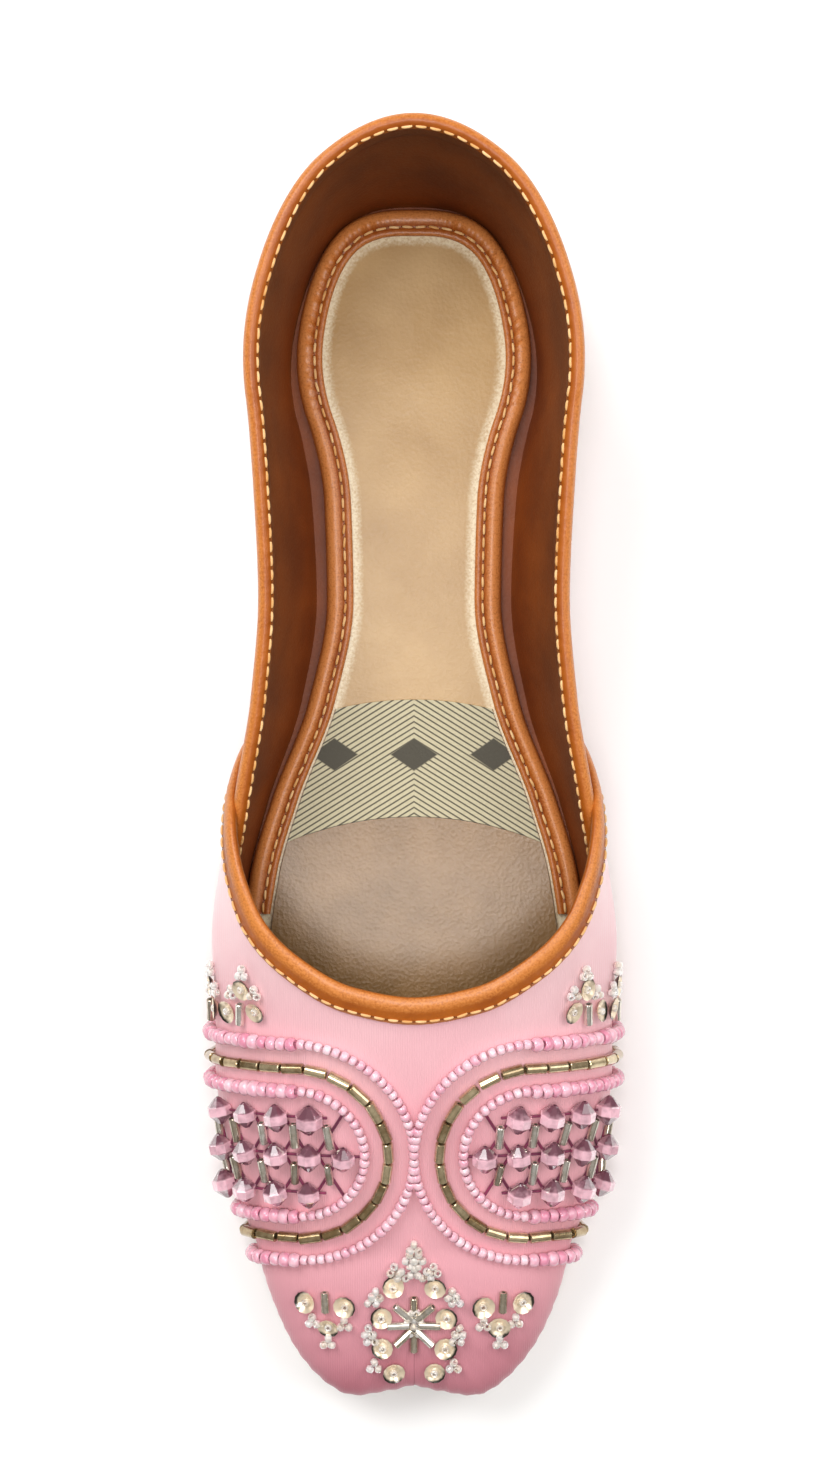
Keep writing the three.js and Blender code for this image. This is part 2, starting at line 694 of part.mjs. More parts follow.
// A bugle stem with a sequin at each side and one at the tip
function sprig({ across, at, aim }, side) {
  const spot = (sideways, ahead, radius) => {
    return onVamp(at + ahead * aim, (across + sideways) * side, sewnLift, radius);
  };
  const stem = BUGLE.length / 2;
  return wasm.Manifold.union([
    string([spot(0, -stem, BUGLE.radius), spot(0, stem, BUGLE.radius)], BUGLE.sides),
    string([spot(-SPRIG_SPREAD, 0, THREAD.radius), spot(SPRIG_SPREAD, 0, THREAD.radius)], THREAD.sides),
    sequin(spot(-SPRIG_SPREAD, 0)),
    sequin(spot(SPRIG_SPREAD, 0)),
    sequin(spot(0, SPRIG_TIP)),
  ]);
}

// Materials by colour, roughness and metalness
function finish(color, roughness, metalness = 0) {
  return new THREE.MeshStandardMaterial({ color, roughness, metalness });
}
const FINISHES = {
  soleLeather: () => finish("#a9794c", 0.7),
  satin: () => finish("#ecc0c6", 0.4),
  bindingLeather: () => finish("#b8691f", 0.45),
  insoleLeather: () => finish("#c3a06c", 0.5),
  sockLeather: () => finish("#b3946a", 0.5),
  wovenLabel: () => finish("#c9bfa4", 0.8),
  pinkGlass: () => finish("#e79fb6", 0.2),
  linedGlass: () => finish("#b49b80", 0.25, 0.4),
  sequinFoil: () => finish("#c9b48f", 0.25, 0.6),
};

const shoe = new THREE.Group();
function addPiece(name, solid, material) {
  const mesh = solid.getMesh();
  const geometry = new THREE.BufferGeometry();
  geometry.setAttribute("position", new THREE.BufferAttribute(new Float32Array(mesh.vertProperties), 3));
  geometry.setIndex(new THREE.BufferAttribute(new Uint32Array(mesh.triVerts), 1));
  geometry.computeVertexNormals();
  const piece = new THREE.Mesh(geometry, FINISHES[material]());
  piece.name = name;
  shoe.add(piece);
}

// A strip cut clear of its neighbours, without the slivers that the cut leaves
function cutClear(strip, neighbours) {
  const bodies = neighbours.reduce((solid, neighbour) => solid.subtract(neighbour), strip).decompose();
  return bodies.reduce((largest, body) => (body.volume() > largest.volume() ? body : largest));
}

function collarBinding() {
  return cutClear(collarStrip(foldedStrip(COLLAR_STRIP_OUT, COLLAR_STRIP_IN)), [vamp(GAP)]);
}

function vampBinding() {
  const collarRoom = collarStrip(stripRoom(COLLAR_STRIP_OUT, COLLAR_STRIP_IN));
  return cutClear(vampStrip(foldedStrip(VAMP_STRIP_OUT, VAMP_STRIP_IN)), [quarters(GAP), collarRoom]);
}

addPiece("outsole", outsole(), "soleLeather");
addPiece("upper", quarters().add(vamp()), "satin");
addPiece("insole", insoleBoard(), "insoleLeather");
addPiece("collar_binding", collarBinding(), "bindingLeather");
addPiece("vamp_binding", vampBinding(), "bindingLeather");
addPiece("insole_binding", insoleBinding(), "bindingLeather");
addPiece("forefoot_sock", forefootSock(), "sockLeather");
addPiece("label_patch", labelPatch(), "wovenLabel");
addPiece("seed_row_outer", horseshoe(OUTER_ROW, 1).add(horseshoe(OUTER_ROW, -1)), "pinkGlass");
for (const [hand, side] of [["left", 1], ["right", -1]]) {
  addPiece(`bugle_row_${hand}`, horseshoe(BUGLE_ROW, side), "linedGlass");
  addPiece(`seed_row_${hand}`, horseshoe(INNER_ROW, side), "pinkGlass");
  addPiece(`crystal_lattice_${hand}`, crystalLattice(side), "pinkGlass");
  addPiece(`toe_sprig_${hand}`, sprig(TOE_SPRIG, side), "sequinFoil");
  addPiece(`throat_sprig_${hand}`, sprig(THROAT_SPRIG, side), "sequinFoil");
}
addPiece("toe_flower", toeFlower(), "sequinFoil");

export default shoe;
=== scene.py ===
import math
import bmesh
import bpy
import numpy as np
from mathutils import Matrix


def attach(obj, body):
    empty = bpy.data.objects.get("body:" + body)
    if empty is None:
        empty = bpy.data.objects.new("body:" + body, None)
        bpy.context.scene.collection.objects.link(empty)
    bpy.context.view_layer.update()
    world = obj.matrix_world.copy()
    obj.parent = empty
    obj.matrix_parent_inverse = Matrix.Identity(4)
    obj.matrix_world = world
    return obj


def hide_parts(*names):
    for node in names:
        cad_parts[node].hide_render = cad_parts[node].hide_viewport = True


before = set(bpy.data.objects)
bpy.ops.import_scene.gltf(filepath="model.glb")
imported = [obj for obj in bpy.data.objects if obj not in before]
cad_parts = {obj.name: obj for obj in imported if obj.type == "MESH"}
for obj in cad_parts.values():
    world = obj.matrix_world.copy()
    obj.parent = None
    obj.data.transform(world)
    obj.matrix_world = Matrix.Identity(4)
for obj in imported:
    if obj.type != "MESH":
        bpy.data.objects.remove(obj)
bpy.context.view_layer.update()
print("frame loaded:", len(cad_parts), "nodes")

mm = 0.001
scene = bpy.context.scene
draw = np.random.default_rng(11)  # one seeded source for every small irregularity

# The last that the shoe is built on, in mm: toe to -Y, heel to +Y, one row per section.
last = {
    "columns": ("at", "turn", "floor", "sole", "belly", "wide", "ridge", "insole"),
    "rows": (
        (-109.0, 90, 8.6, 10.8, 12.5, 12.0, 16.5, 8.3),
        (-105.4, 72, 8.3, 16.2, 12.4, 17.6, 17.6, 13.5),
        (-101.8, 54, 7.9, 23.5, 12.3, 25.2, 18.8, 20.5),
        (-98.2, 36, 7.4, 26.4, 12.3, 28.2, 20.0, 23.5),
        (-94.6, 18, 6.8, 27.8, 12.5, 29.8, 21.3, 25.0),
        (-91.0, 0, 6.2, 29.8, 12.9, 32.0, 22.6, 27.2),
        (-74.0, 0, 4.8, 34.8, 14.3, 36.9, 29.5, 32.3),
        (-56.0, 0, 4.5, 37.3, 16.0, 39.3, 37.2, 34.8),
        (-38.0, 0, 4.5, 37.3, 18.5, 39.0, 44.8, 34.6),
        (-20.0, 0, 4.5, 35.0, 22.0, 36.8, 54.0, 32.5),
        (-4.0, 0, 5.3, 30.8, 27.0, 34.0, 63.0, 28.0),
        (16.0, 0, 7.2, 23.8, 36.0, 29.9, 74.0, 20.4),
        (36.0, 0, 9.0, 20.6, 42.0, 28.2, 83.0, 16.7),
        (56.0, 0, 10.6, 21.6, 46.0, 28.9, 90.0, 17.2),
        (72.0, 0, 11.5, 24.8, 48.5, 30.1, 94.0, 20.6),
        (80.0, -30, 12.0, 28.0, 51.0, 31.6, 97.0, 25.0),
        (86.0, -60, 12.2, 29.6, 52.0, 32.8, 98.0, 27.0),
        (88.0, -90, 12.3, 27.6, 52.5, 33.5, 98.0, 24.8),
    ),
    "bellyClimb": 0.35,  # share of the climb from sole to ridge below the widest line
    "toeEnd": 5,
    "heelSide": 14,
    "heel": 17,
    "wall": 1.8,
    "lap": 1.5,  # how far the vamp stands out over the quarters
    "lapFrom": -50,
    "lapTo": -25,
}
lastTable = {name: np.array(column, float) for name, column in zip(last["columns"], zip(*last["rows"]))}


def unit(v):
    return v / np.maximum(np.linalg.norm(v, axis=-1, keepdims=True), 1e-12)


def smoothStep(low, high, x):
    t = np.clip((np.asarray(x, float) - low) / (high - low), 0, 1)
    return t * t * (3 - 2 * t)


def bisect(rising, target, low, high, halvings=32):
    target = np.asarray(target, float)
    low = np.full(target.shape, float(low))
    high = np.full(target.shape, float(high))
    for step in range(halvings):
        middle = (low + high) / 2
        under = rising(middle) < target
        low = np.where(under, middle, low)
        high = np.where(under, high, middle)
    return (low + high) / 2


def through(values, t, flatEnds=True):  # smooth curve through even values that never swings past them
    values = np.asarray(values, float)
    t = np.asarray(t, float)
    rise = np.diff(values)
    both = rise[:-1] * rise[1:]
    slope = np.zeros(len(values))
    slope[1:-1] = np.where(both > 0, 2 * both / np.where(both > 0, rise[:-1] + rise[1:], 1), 0)
    if not flatEnds:
        slope[0], slope[-1] = rise[0], rise[-1]
    i = np.clip(np.floor(t).astype(int), 0, len(rise) - 1)
    u = t - i
    v = 1 - u
    level = values[i] * v * v * (1 + 2 * u) + values[i + 1] * u * u * (1 + 2 * v)
    return level + slope[i] * u * v * v - slope[i + 1] * u * u * v


def section(s, name):
    return through(lastTable[name], s, name != "turn")


def inSection(s, reach, height):  # a point of a section's plane, on the left (-X)
    turn = np.radians(section(s, "turn"))
    x = -reach * np.cos(turn)
    y = section(s, "at") - reach * np.sin(turn)
    return np.stack(np.broadcast_arrays(x, y, height), -1)


def lastPoint(s, climb):  # past the ridge, toe or heel it goes on down the other side
    s, climb = np.broadcast_arrays(np.asarray(s, float), np.asarray(climb, float))
    heel, belly = last["heel"], last["bellyClimb"]
    beyond = (climb > 1) | (s < 0) | (s > heel)
    s = np.where(s < 0, -s, np.where(s > heel, 2 * heel - s, s))
    climb = np.where(climb > 1, 2 - climb, climb)
    row = {name: section(s, name) for name in last["columns"]}
    low = climb < belly
    below = np.where(low, climb / belly, 0)
    above = np.where(low, 0, (climb - belly) / (1 - belly)) * math.pi / 2
    reachLow = row["sole"] + (row["wide"] - row["sole"]) * np.sin(below * math.pi / 2)
    reach = np.where(low, reachLow, row["wide"] * np.cos(above))
    heightLow = row["floor"] + (row["belly"] - row["floor"]) * below
    height = np.where(low, heightLow, row["belly"] + (row["ridge"] - row["belly"]) * np.sin(above))
    point = inSection(s, reach, height)
    point[..., 0] = np.where(beyond, -point[..., 0], point[..., 0])
    return point


def lastFrame(s, climb):  # slopes along and up the surface, and the way out of it
    s, climb = np.broadcast_arrays(np.asarray(s, float), np.asarray(climb, float))
    step = 1e-3
    low = np.maximum(climb - step, 0)
    along = (lastPoint(s + step, climb) - lastPoint(s - step, climb)) / (2 * step)
    up = (lastPoint(s, climb + step) - lastPoint(s, low)) / (climb + step - low)[..., None]
    return along, up, unit(np.cross(up, along))


def onLast(s, climb, lift):
    return lastPoint(s, climb) + lastFrame(s, climb)[2] * np.asarray(lift, float)[..., None]


def climbAt(s, height):
    return bisect(lambda climb: lastPoint(s, climb)[..., 2], height, 0, 1)


def rowAt(at):
    return bisect(lambda s: section(s, "at"), at, last["toeEnd"], last["heelSide"])


def vampLift(at):  # the vamp stands out where it laps over the quarters
    return last["lap"] * smoothStep(last["lapFrom"], last["lapTo"], at)


def noLift(at):
    return np.zeros(np.shape(at))


def onCentre(points):  # what is all but on the centre plane is put on it
    points[np.abs(points[..., 0]) < 1e-3, 0] = 0
    return points


# Colours and nodes
def toLinear(code):
    parts = [int(code[k:k + 2], 16) / 255 for k in (1, 3, 5)]
    return (*[c / 12.92 if c <= 0.04045 else ((c + 0.055) / 1.055) ** 2.4 for c in parts], 1.0)


def perMm(size):  # texture scale for a pattern that repeats every so many mm
    return 1 / (size * mm)


def addNode(tree, kind, inputs=None, **settings):
    node = tree.nodes.new("ShaderNode" + kind)
    for name, value in settings.items():
        setattr(node, name, value)
    for name, value in (inputs or {}).items():
        if isinstance(value, bpy.types.NodeSocket):
            tree.links.new(value, node.inputs[name])
        else:
            node.inputs[name].default_value = value
    return node


def startMaterial(name, **values):
    material = bpy.data.materials.new(name)
    material.use_nodes = True
    tree = material.node_tree
    tree.nodes.clear()
    inputs = {key.replace("_", " "): value for key, value in values.items()}
    shader = addNode(tree, "BsdfPrincipled", inputs)
    addNode(tree, "OutputMaterial", {"Surface": shader.outputs[0]})
    place = addNode(tree, "TexCoord").outputs["Object"]
    return material, tree, shader, place


def satinCloth():
    # Shell pink satin, woven with long floats: soft sheen, fine lines along the shoe; painted shade darkens
    # it towards the toe and a painted highlight pales it towards the throat
    colours = {"toe": "#b06a76", "middle": "#ebadb5", "throat": "#f5d2d4", "shade": "#e6a3ad"}
    material, tree, shader, place = startMaterial(
        "shell_pink_satin", Sheen_Weight=0.35, Sheen_Roughness=0.35, Specular_IOR_Level=0.45,
        Sheen_Tint=toLinear("#fff0f2"), Anisotropic=0.45)
    axes = addNode(tree, "SeparateXYZ", {0: place})
    # painted shade: the colour darkens from the front of the vamp to the toe tip
    front = addNode(tree, "MapRange", {"Value": axes.outputs["Y"], "From Min": -0.121, "From Max": -0.085})
    # painted highlight: the colour pales towards the throat
    back = addNode(tree, "MapRange", {"Value": axes.outputs["Y"], "From Min": -0.065, "From Max": -0.02})
    cloud = addNode(tree, "TexNoise", {"Vector": place, "Scale": perMm(26), "Detail": 3.0})
    toe = addNode(tree, "Mix", {0: front.outputs[0], 6: toLinear(colours["toe"]),
                                7: toLinear(colours["middle"])}, data_type="RGBA")
    body = addNode(tree, "Mix", {0: back.outputs[0], 6: toe.outputs[2],
                                 7: toLinear(colours["throat"])}, data_type="RGBA")
    patch = addNode(tree, "MapRange", {"Value": cloud.outputs[0], "From Min": 0.45, "From Max": 0.8,
                                       "To Max": 0.45})
    tone = addNode(tree, "Mix", {0: patch.outputs[0], 6: body.outputs[2],
                                 7: toLinear(colours["shade"])}, data_type="RGBA")
    # threads are about 0.1 mm apart; drawn at 0.45 mm so that they show
    floats = addNode(tree, "TexWave", {"Vector": place, "Scale": 0.314 / (0.45 * mm), "Distortion": 1.6,
                                       "Detail": 2.0, "Detail Scale": 0.6}, bands_direction="X")
    picks = addNode(tree, "TexNoise", {"Vector": place, "Scale": perMm(0.7), "Detail": 2.0})
    weave = addNode(tree, "Math", {0: floats.outputs["Fac"], 1: picks.outputs[0]}, operation="ADD")
    bump = addNode(tree, "Bump", {"Height": weave.outputs[0], "Strength": 0.3, "Distance": 0.00012})
    gloss = addNode(tree, "MapRange", {"Value": cloud.outputs[0], "To Min": 0.36, "To Max": 0.5})
    tree.links.new(tone.outputs[2], shader.inputs["Base Color"])
    tree.links.new(gloss.outputs[0], shader.inputs["Roughness"])
    tree.links.new(bump.outputs[0], shader.inputs["Normal"])
    return material


def hide(name, colours, grain, roughness, coat=0.0, strength=0.35, cloudSize=9.0, mark=None, markColour=None):
    # Leather: pebbled grain, cloudy dye, and a paler patch where the mark attribute says: real fray on the
    # insole, rub and a painted highlight on the bindings and the welt
    material, tree, shader, place = startMaterial(name, Specular_IOR_Level=0.42, Coat_Weight=coat,
                                                  Coat_Roughness=0.27)
    cloud = addNode(tree, "TexNoise", {"Vector": place, "Scale": perMm(cloudSize), "Detail": 4.0})
    cells = addNode(tree, "TexVoronoi", {"Vector": place, "Scale": perMm(grain)})
    pores = addNode(tree, "TexNoise", {"Vector": place, "Scale": perMm(grain * 0.55), "Detail": 3.0})
    share = addNode(tree, "MapRange", {"Value": cloud.outputs[0], "From Min": 0.3, "From Max": 0.7})
    tone = addNode(tree, "Mix", {0: share.outputs[0], 6: toLinear(colours[0]),
                                 7: toLinear(colours[1])}, data_type="RGBA")
    colour = tone.outputs[2]
    if mark:
        # the mark is real fray on the insole; on the bindings and the welt it is rub and a painted highlight
        wearAndHighlightMark = addNode(tree, "Attribute", attribute_name=mark)
        ragged = addNode(tree, "Math", {0: wearAndHighlightMark.outputs["Fac"], 1: pores.outputs[0]}, operation="MULTIPLY")
        wearAndHighlightShare = addNode(tree, "MapRange", {"Value": ragged.outputs[0], "From Min": 0.12, "From Max": 0.5})
        colour = addNode(tree, "Mix", {0: wearAndHighlightShare.outputs[0], 6: colour,
                                       7: toLinear(markColour)}, data_type="RGBA").outputs[2]
    skin = addNode(tree, "Math", {0: cells.outputs["Distance"], 1: pores.outputs[0]}, operation="ADD")
    bump = addNode(tree, "Bump", {"Height": skin.outputs[0], "Strength": strength, "Distance": 0.0002})
    gloss = addNode(tree, "MapRange", {"Value": pores.outputs[0], "To Min": roughness - 0.08,
                                       "To Max": roughness + 0.12})
    tree.links.new(colour, shader.inputs["Base Color"])
    tree.links.new(gloss.outputs[0], shader.inputs["Roughness"])
    tree.links.new(bump.outputs[0], shader.inputs["Normal"])
    return material


def labelTwill():
    # Woven label: cream twill with thin dark slanting threads and a plain row of lozenges
    colours = {"cream": "#bfb491", "pale": "#d4cbab", "dark": "#2f2b24"}
    lozenge = {"middle": 5.2, "pitch": 8.0, "height": 5.6}
    material, tree, shader, place = startMaterial("cream_label_twill", Roughness=0.72, Sheen_Weight=0.2)
    axes = addNode(tree, "SeparateXYZ", {0: place})
    fold = addNode(tree, "Math", {0: axes.outputs["X"]}, operation="ABSOLUTE")
    lean = addNode(tree, "Math", {0: fold.outputs[0], 1: 0.62, 2: axes.outputs["Y"]},
                   operation="MULTIPLY_ADD")
    stripe = addNode(tree, "Math", {0: lean.outputs[0], 1: 2 * math.pi * perMm(1.15)}, operation="MULTIPLY")
    wave = addNode(tree, "Math", {0: stripe.outputs[0]}, operation="SINE")
    thin = addNode(tree, "MapRange", {"Value": wave.outputs[0], "From Min": 0.35, "From Max": 0.8,
                                      "To Max": 0.85})
    side = addNode(tree, "Math", {0: axes.outputs["X"], 1: lozenge["pitch"] * mm}, operation="PINGPONG")
    across = addNode(tree, "Math", {0: side.outputs[0], 1: perMm(lozenge["pitch"])}, operation="MULTIPLY")
    rise = addNode(tree, "Math", {0: axes.outputs["Y"], 1: lozenge["middle"] * mm}, operation="SUBTRACT")
    tall = addNode(tree, "Math", {0: rise.outputs[0]}, operation="ABSOLUTE")
    high = addNode(tree, "Math", {0: tall.outputs[0], 1: perMm(lozenge["height"])}, operation="MULTIPLY")
    reach = addNode(tree, "Math", {0: across.outputs[0], 1: high.outputs[0]}, operation="ADD")
    inside = addNode(tree, "MapRange", {"Value": reach.outputs[0], "From Min": 0.62, "From Max": 0.56,
                                        "To Max": 0.92})
    dark = addNode(tree, "Math", {0: thin.outputs[0], 1: inside.outputs[0]}, operation="MAXIMUM")
    yarn = addNode(tree, "TexNoise", {"Vector": place, "Scale": perMm(0.5), "Detail": 2.0})
    ground = addNode(tree, "Mix", {0: yarn.outputs[0], 6: toLinear(colours["cream"]),
                                   7: toLinear(colours["pale"])}, data_type="RGBA")
    tone = addNode(tree, "Mix", {0: dark.outputs[0], 6: ground.outputs[2],
                                 7: toLinear(colours["dark"])}, data_type="RGBA")
    relief = addNode(tree, "Math", {0: yarn.outputs[0], 1: dark.outputs[0]}, operation="ADD")
    bump = addNode(tree, "Bump", {"Height": relief.outputs[0], "Strength": 0.5, "Distance": 0.0002})
    tree.links.new(tone.outputs[2], shader.inputs["Base Color"])
    tree.links.new(bump.outputs[0], shader.inputs["Normal"])
    return material


def beadGlass(name, pale, deep, **values):
    # Moulded glass: each bead has its own tone, with faint cloud inside
    material, tree, shader, place = startMaterial(name, **values)
    own = addNode(tree, "Attribute", attribute_name="tone")
    cloud = addNode(tree, "TexNoise", {"Vector": place, "Scale": perMm(1.4), "Detail": 2.0})
    share = addNode(tree, "Math", {0: own.outputs["Fac"], 1: 0.7, 2: cloud.outputs[0]},
                    operation="MULTIPLY_ADD")
    pull = addNode(tree, "MapRange", {"Value": share.outputs[0], "From Min": 0.3, "From Max": 1.2})
    tone = addNode(tree, "Mix", {0: pull.outputs[0], 6: toLinear(pale), 7: toLinear(deep)},
                   data_type="RGBA")
    tree.links.new(tone.outputs[2], shader.inputs["Base Color"])
    return material


satin = satinCloth()
# Strips over the free edges: even tan, soft shine, paler on the roll from rub and a painted highlight
bindingLeather = hide("tan_binding_leather", ("#9a4a08", "#b25f16"), grain=0.75, roughness=0.38, coat=0.12,
                      strength=0.22, cloudSize=7.0, mark="rub_and_painted_highlight", markColour="#d2823c")
# Strip round the insole: paler on the roll and the flange from rub and a painted highlight, darker base
# colour in its groove
weltLeather = hide("tan_welt_leather", ("#8e4208", "#a85814"), grain=0.7, roughness=0.36, coat=0.15,
                   strength=0.22, cloudSize=7.0, mark="rub_and_painted_highlight", markColour="#cf8244")
# Lining: deep brown with no shine
liningLeather = hide("brown_lining_leather", ("#642a05", "#843f0b"), grain=0.8, roughness=0.55, strength=0.25,
                     cloudSize=14.0)
# Insole board: smooth olive-beige, frayed pale along its edge
insoleLeather = hide("natural_insole_leather", ("#ab854f", "#bf9a65"), grain=0.9, roughness=0.36, coat=0.15,
                     strength=0.18, cloudSize=16.0, mark="edge", markColour="#e4d4b2")
# Sock: crinkled and shiny from wear
sockLeather = hide("rubbed_sock_leather", ("#7c5b30", "#957145"), grain=0.85, roughness=0.33, coat=0.45,
                   strength=0.6, cloudSize=13.0)
# Sole: dry and matt, as tanned
soleLeather = hide("tanned_sole_leather", ("#9a6a3c", "#b98853"), grain=1.1, roughness=0.62, strength=0.4,
                   cloudSize=12.0)
# Needle holes: the shadow in pricked leather
needleHole = hide("pricked_leather_shadow", ("#6b330c", "#7c4114"), grain=0.5, roughness=0.8)
label = labelTwill()
# Opaque pink seed beads: wet-looking shine over a milky body
seedGlass = beadGlass("pink_seed_glass", "#fcdbe2", "#de8ea6", Roughness=0.14, Coat_Weight=0.7,
                      Coat_Roughness=0.05, Subsurface_Weight=0.2, Subsurface_Radius=(0.001, 0.0006, 0.0006))
# Cut crystal: a pale pink band in the middle, sharp facets, and a painted dark reflection on the clear tips
crystalGlass = beadGlass("pink_cut_crystal", "#ffcad7", "#744754", Roughness=0.03, Transmission_Weight=0.2,
                         IOR=1.56, Coat_Weight=0.8, Coat_Roughness=0.02)
# Champagne-lined tube: metal inside clear glass shows as a bright streak between dark ones
linedGlass = beadGlass("champagne_lined_glass", "#e9d5ac", "#93774c", Roughness=0.2, Metallic=0.8,
                       Coat_Weight=0.9, Coat_Roughness=0.03)
# The same tubes lined with bare silver
silverGlass = beadGlass("silver_lined_glass", "#fffaf0", "#b3a48d", Roughness=0.17, Metallic=0.8,
                        Coat_Weight=0.9, Coat_Roughness=0.03)
# Clear seed beads: nearly white sparkle
clearGlass = beadGlass("clear_seed_glass", "#ffffff", "#f3e6d6", Roughness=0.06, Transmission_Weight=0.55,
                       IOR=1.5, Coat_Weight=0.5)
# Pressed foil sequins: champagne metal film, a cup with flat facets
sequinFoil = beadGlass("champagne_sequin_foil", "#f3dfc2", "#2f2a20", Roughness=0.24, Metallic=0.45,
                       Coat_Weight=0.5, Coat_Roughness=0.06)
# Waxed sewing thread: cream, with no shine
sewingThread = beadGlass("waxed_cream_thread", "#f6cf94", "#d99f58", Roughness=0.55, Sheen_Weight=0.2)
# Thread that holds the crystals: a dark magenta line
beadThread = beadGlass("magenta_bead_thread", "#8a2a50", "#5f1838", Roughness=0.6, Sheen_Weight=0.2)
print("materials:", len(bpy.data.materials))


# Meshes
def gridFaces(rows, columns, closed=False):
    i = np.arange(rows - 1)[:, None] * columns
    k = np.arange(columns if closed else columns - 1)[None, :]
    m = (k + 1) % columns
    return np.stack([i + k, i + m, i + columns + m, i + columns + k], -1).reshape(-1, 4)


def makePiece(name, points, faces, materials, replaced=(), kinds=None, marks=None, weld=0.004,
              sharp=50):
    mesh = bpy.data.meshes.new(name)
    mesh.from_pydata((np.asarray(points) * mm).tolist(), [], [list(map(int, face)) for face in faces])
    for material in materials:
        mesh.materials.append(material)
    if kinds is not None:
        mesh.polygons.foreach_set("material_index", np.asarray(kinds, np.int32))
    for mark, values in (marks or {}).items():
        mesh.attributes.new(mark, "FLOAT", "POINT").data.foreach_set("value", np.asarray(values, np.float32))
    if weld:
        shape = bmesh.new()
        shape.from_mesh(mesh)
        bmesh.ops.remove_doubles(shape, verts=shape.verts, dist=weld * mm)
        bmesh.ops.recalc_face_normals(shape, faces=shape.faces)
        shape.to_mesh(mesh)
        shape.free()
    mesh.polygons.foreach_set("use_smooth", np.full(len(mesh.polygons), sharp > 0))
    if sharp > 0:
        mesh.set_sharp_from_angle(angle=math.radians(sharp))
    piece = bpy.data.objects.new(name, mesh)
    scene.collection.objects.link(piece)
    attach(piece, "root")
    if replaced:
        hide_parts(*replaced)
    print("piece:", name, len(mesh.polygons), "faces")


def endCaps(rows, columns):
    return [list(range(columns)), list(range((rows - 1) * columns, rows * columns))]


def bothSides(left, faces, right=None):  # the left half and its mirror image as one list
    right = left * (-1, 1, 1) if right is None else right
    faces = [list(face) for face in faces]
    count = len(left)
    return np.concatenate([left, right]), faces + [[k + count for k in reversed(face)] for face in faces]


# Upper: satin outside, leather lining inside, vamp lapped over the quarters
upper = {
    "outerSteps": 44,
    "innerSteps": 22,
    "toeSteps": 60,
    "frontSteps": 60,
    "throatSteps": 90,
    "sideSteps": 110,
    "heelSteps": 60,
    "lasted": 1.6,
    "lastedClear": 0.5,
    "quarterFront": -24,
    "vampEdge": 1.0,  # thickness at the free edges
    "collarEdge": 1.5,
    # side (1 left, -1 right), first row and climb, last row and climb, width, depth (a ridge is negative)
    "creases": (
        (1, 9.35, 0.40, 8.2, 0.58, 3.0, 0.34),
        (1, 9.10, 0.20, 7.9, 0.33, 3.6, 0.30),
        (1, 9.20, 0.31, 8.1, 0.45, 3.2, -0.20),
        (-1, 9.30, 0.42, 8.0, 0.52, 3.2, 0.32),
        (-1, 9.00, 0.16, 7.7, 0.28, 3.8, 0.32),
        (-1, 9.15, 0.30, 8.0, 0.40, 3.2, -0.20),
        (1, 11.2, 0.10, 12.4, 0.22, 4.2, 0.45),
        (1, 11.9, 0.07, 13.2, 0.19, 4.6, -0.25),
        (-1, 11.1, 0.12, 12.2, 0.20, 4.2, 0.40),
        (-1, 12.0, 0.09, 13.1, 0.22, 4.6, -0.25),
        (1, 1.2, 0.75, 3.2, 0.55, 2.6, 0.16),
        (-1, 1.0, 0.72, 3.0, 0.50, 2.6, 0.16),
    ),
    "swell": (0.10, 8.3, 0.6, 10.7, 1.1),  # depth, length along and its phase, length across and its phase
    "ripple": (0.06, 4.9, 6.1),  # depth, length along, length across
    "pleatPitch": 3.4,  # puckers where the satin is pulled under at the toe
    "pleatDepth": 0.30,
    "pleatHeight": 4.2,
    "pleatEnd": (5.2, 7.0),  # rows between which they fade
    "pleatDrift": (1.3, 6.3),  # how far they stray from even, and over what length
    "reliefFrom": 0.05,  # relief fades at the foot and at the free edge
    "reliefTo": 0.9,
    "crownFade": 1.02,
    "pareTop": 0.96,  # the wall is pared only where its edge is free, and only near it
    "pareShare": (0.5, 0.05),
}
collarRows = ((8.7, 23.0), (9, 26.0), (10, 33.5), (11, 38.5), (12, 42.0), (13, 46.0), (14, 49.0), (15, 52.0),
              (16, 53.5), (17, 54.0))  # row of the last, height of the quarters' top edge
throatRows = ((-41.6, 1.0), (-39.6, 0.875), (-33.6, 0.75), (-26.4, 0.645), (-18.2, 0.56), (-6.0, 0.43),
              (3.6, 0.29), (11.0, 0.13), (15.5, 0.03))  # place along the shoe, climb of the vamp's free edge


def collarHeight(s):
    rows = np.array(collarRows)
    return through(rows[:, 1], np.interp(s, rows[:, 0], np.arange(len(rows))))


def throatEdge(steps):
    rows = np.array(throatRows)
    t = np.linspace(0, len(rows) - 1, steps + 1)
    top = through(rows[:, 1], t, False)
    top[0] = 1
    return rowAt(through(rows[:, 0], t)), top


def quarterEdge(sideSteps, heelSteps):
    front = float(rowAt(upper["quarterFront"]))
    sides = np.linspace(front, last["heelSide"], sideSteps + 1)
    s = np.concatenate([sides, np.linspace(last["heelSide"], last["heel"], heelSteps + 1)[1:]])
    return s, climbAt(s, collarHeight(s))


edgeRows = np.linspace(0, last["heel"], 400)
edgeSteps = np.linalg.norm(np.diff(lastPoint(edgeRows, 0.2), axis=0), axis=1)
edgeLength = np.concatenate([[0], np.cumsum(edgeSteps)])


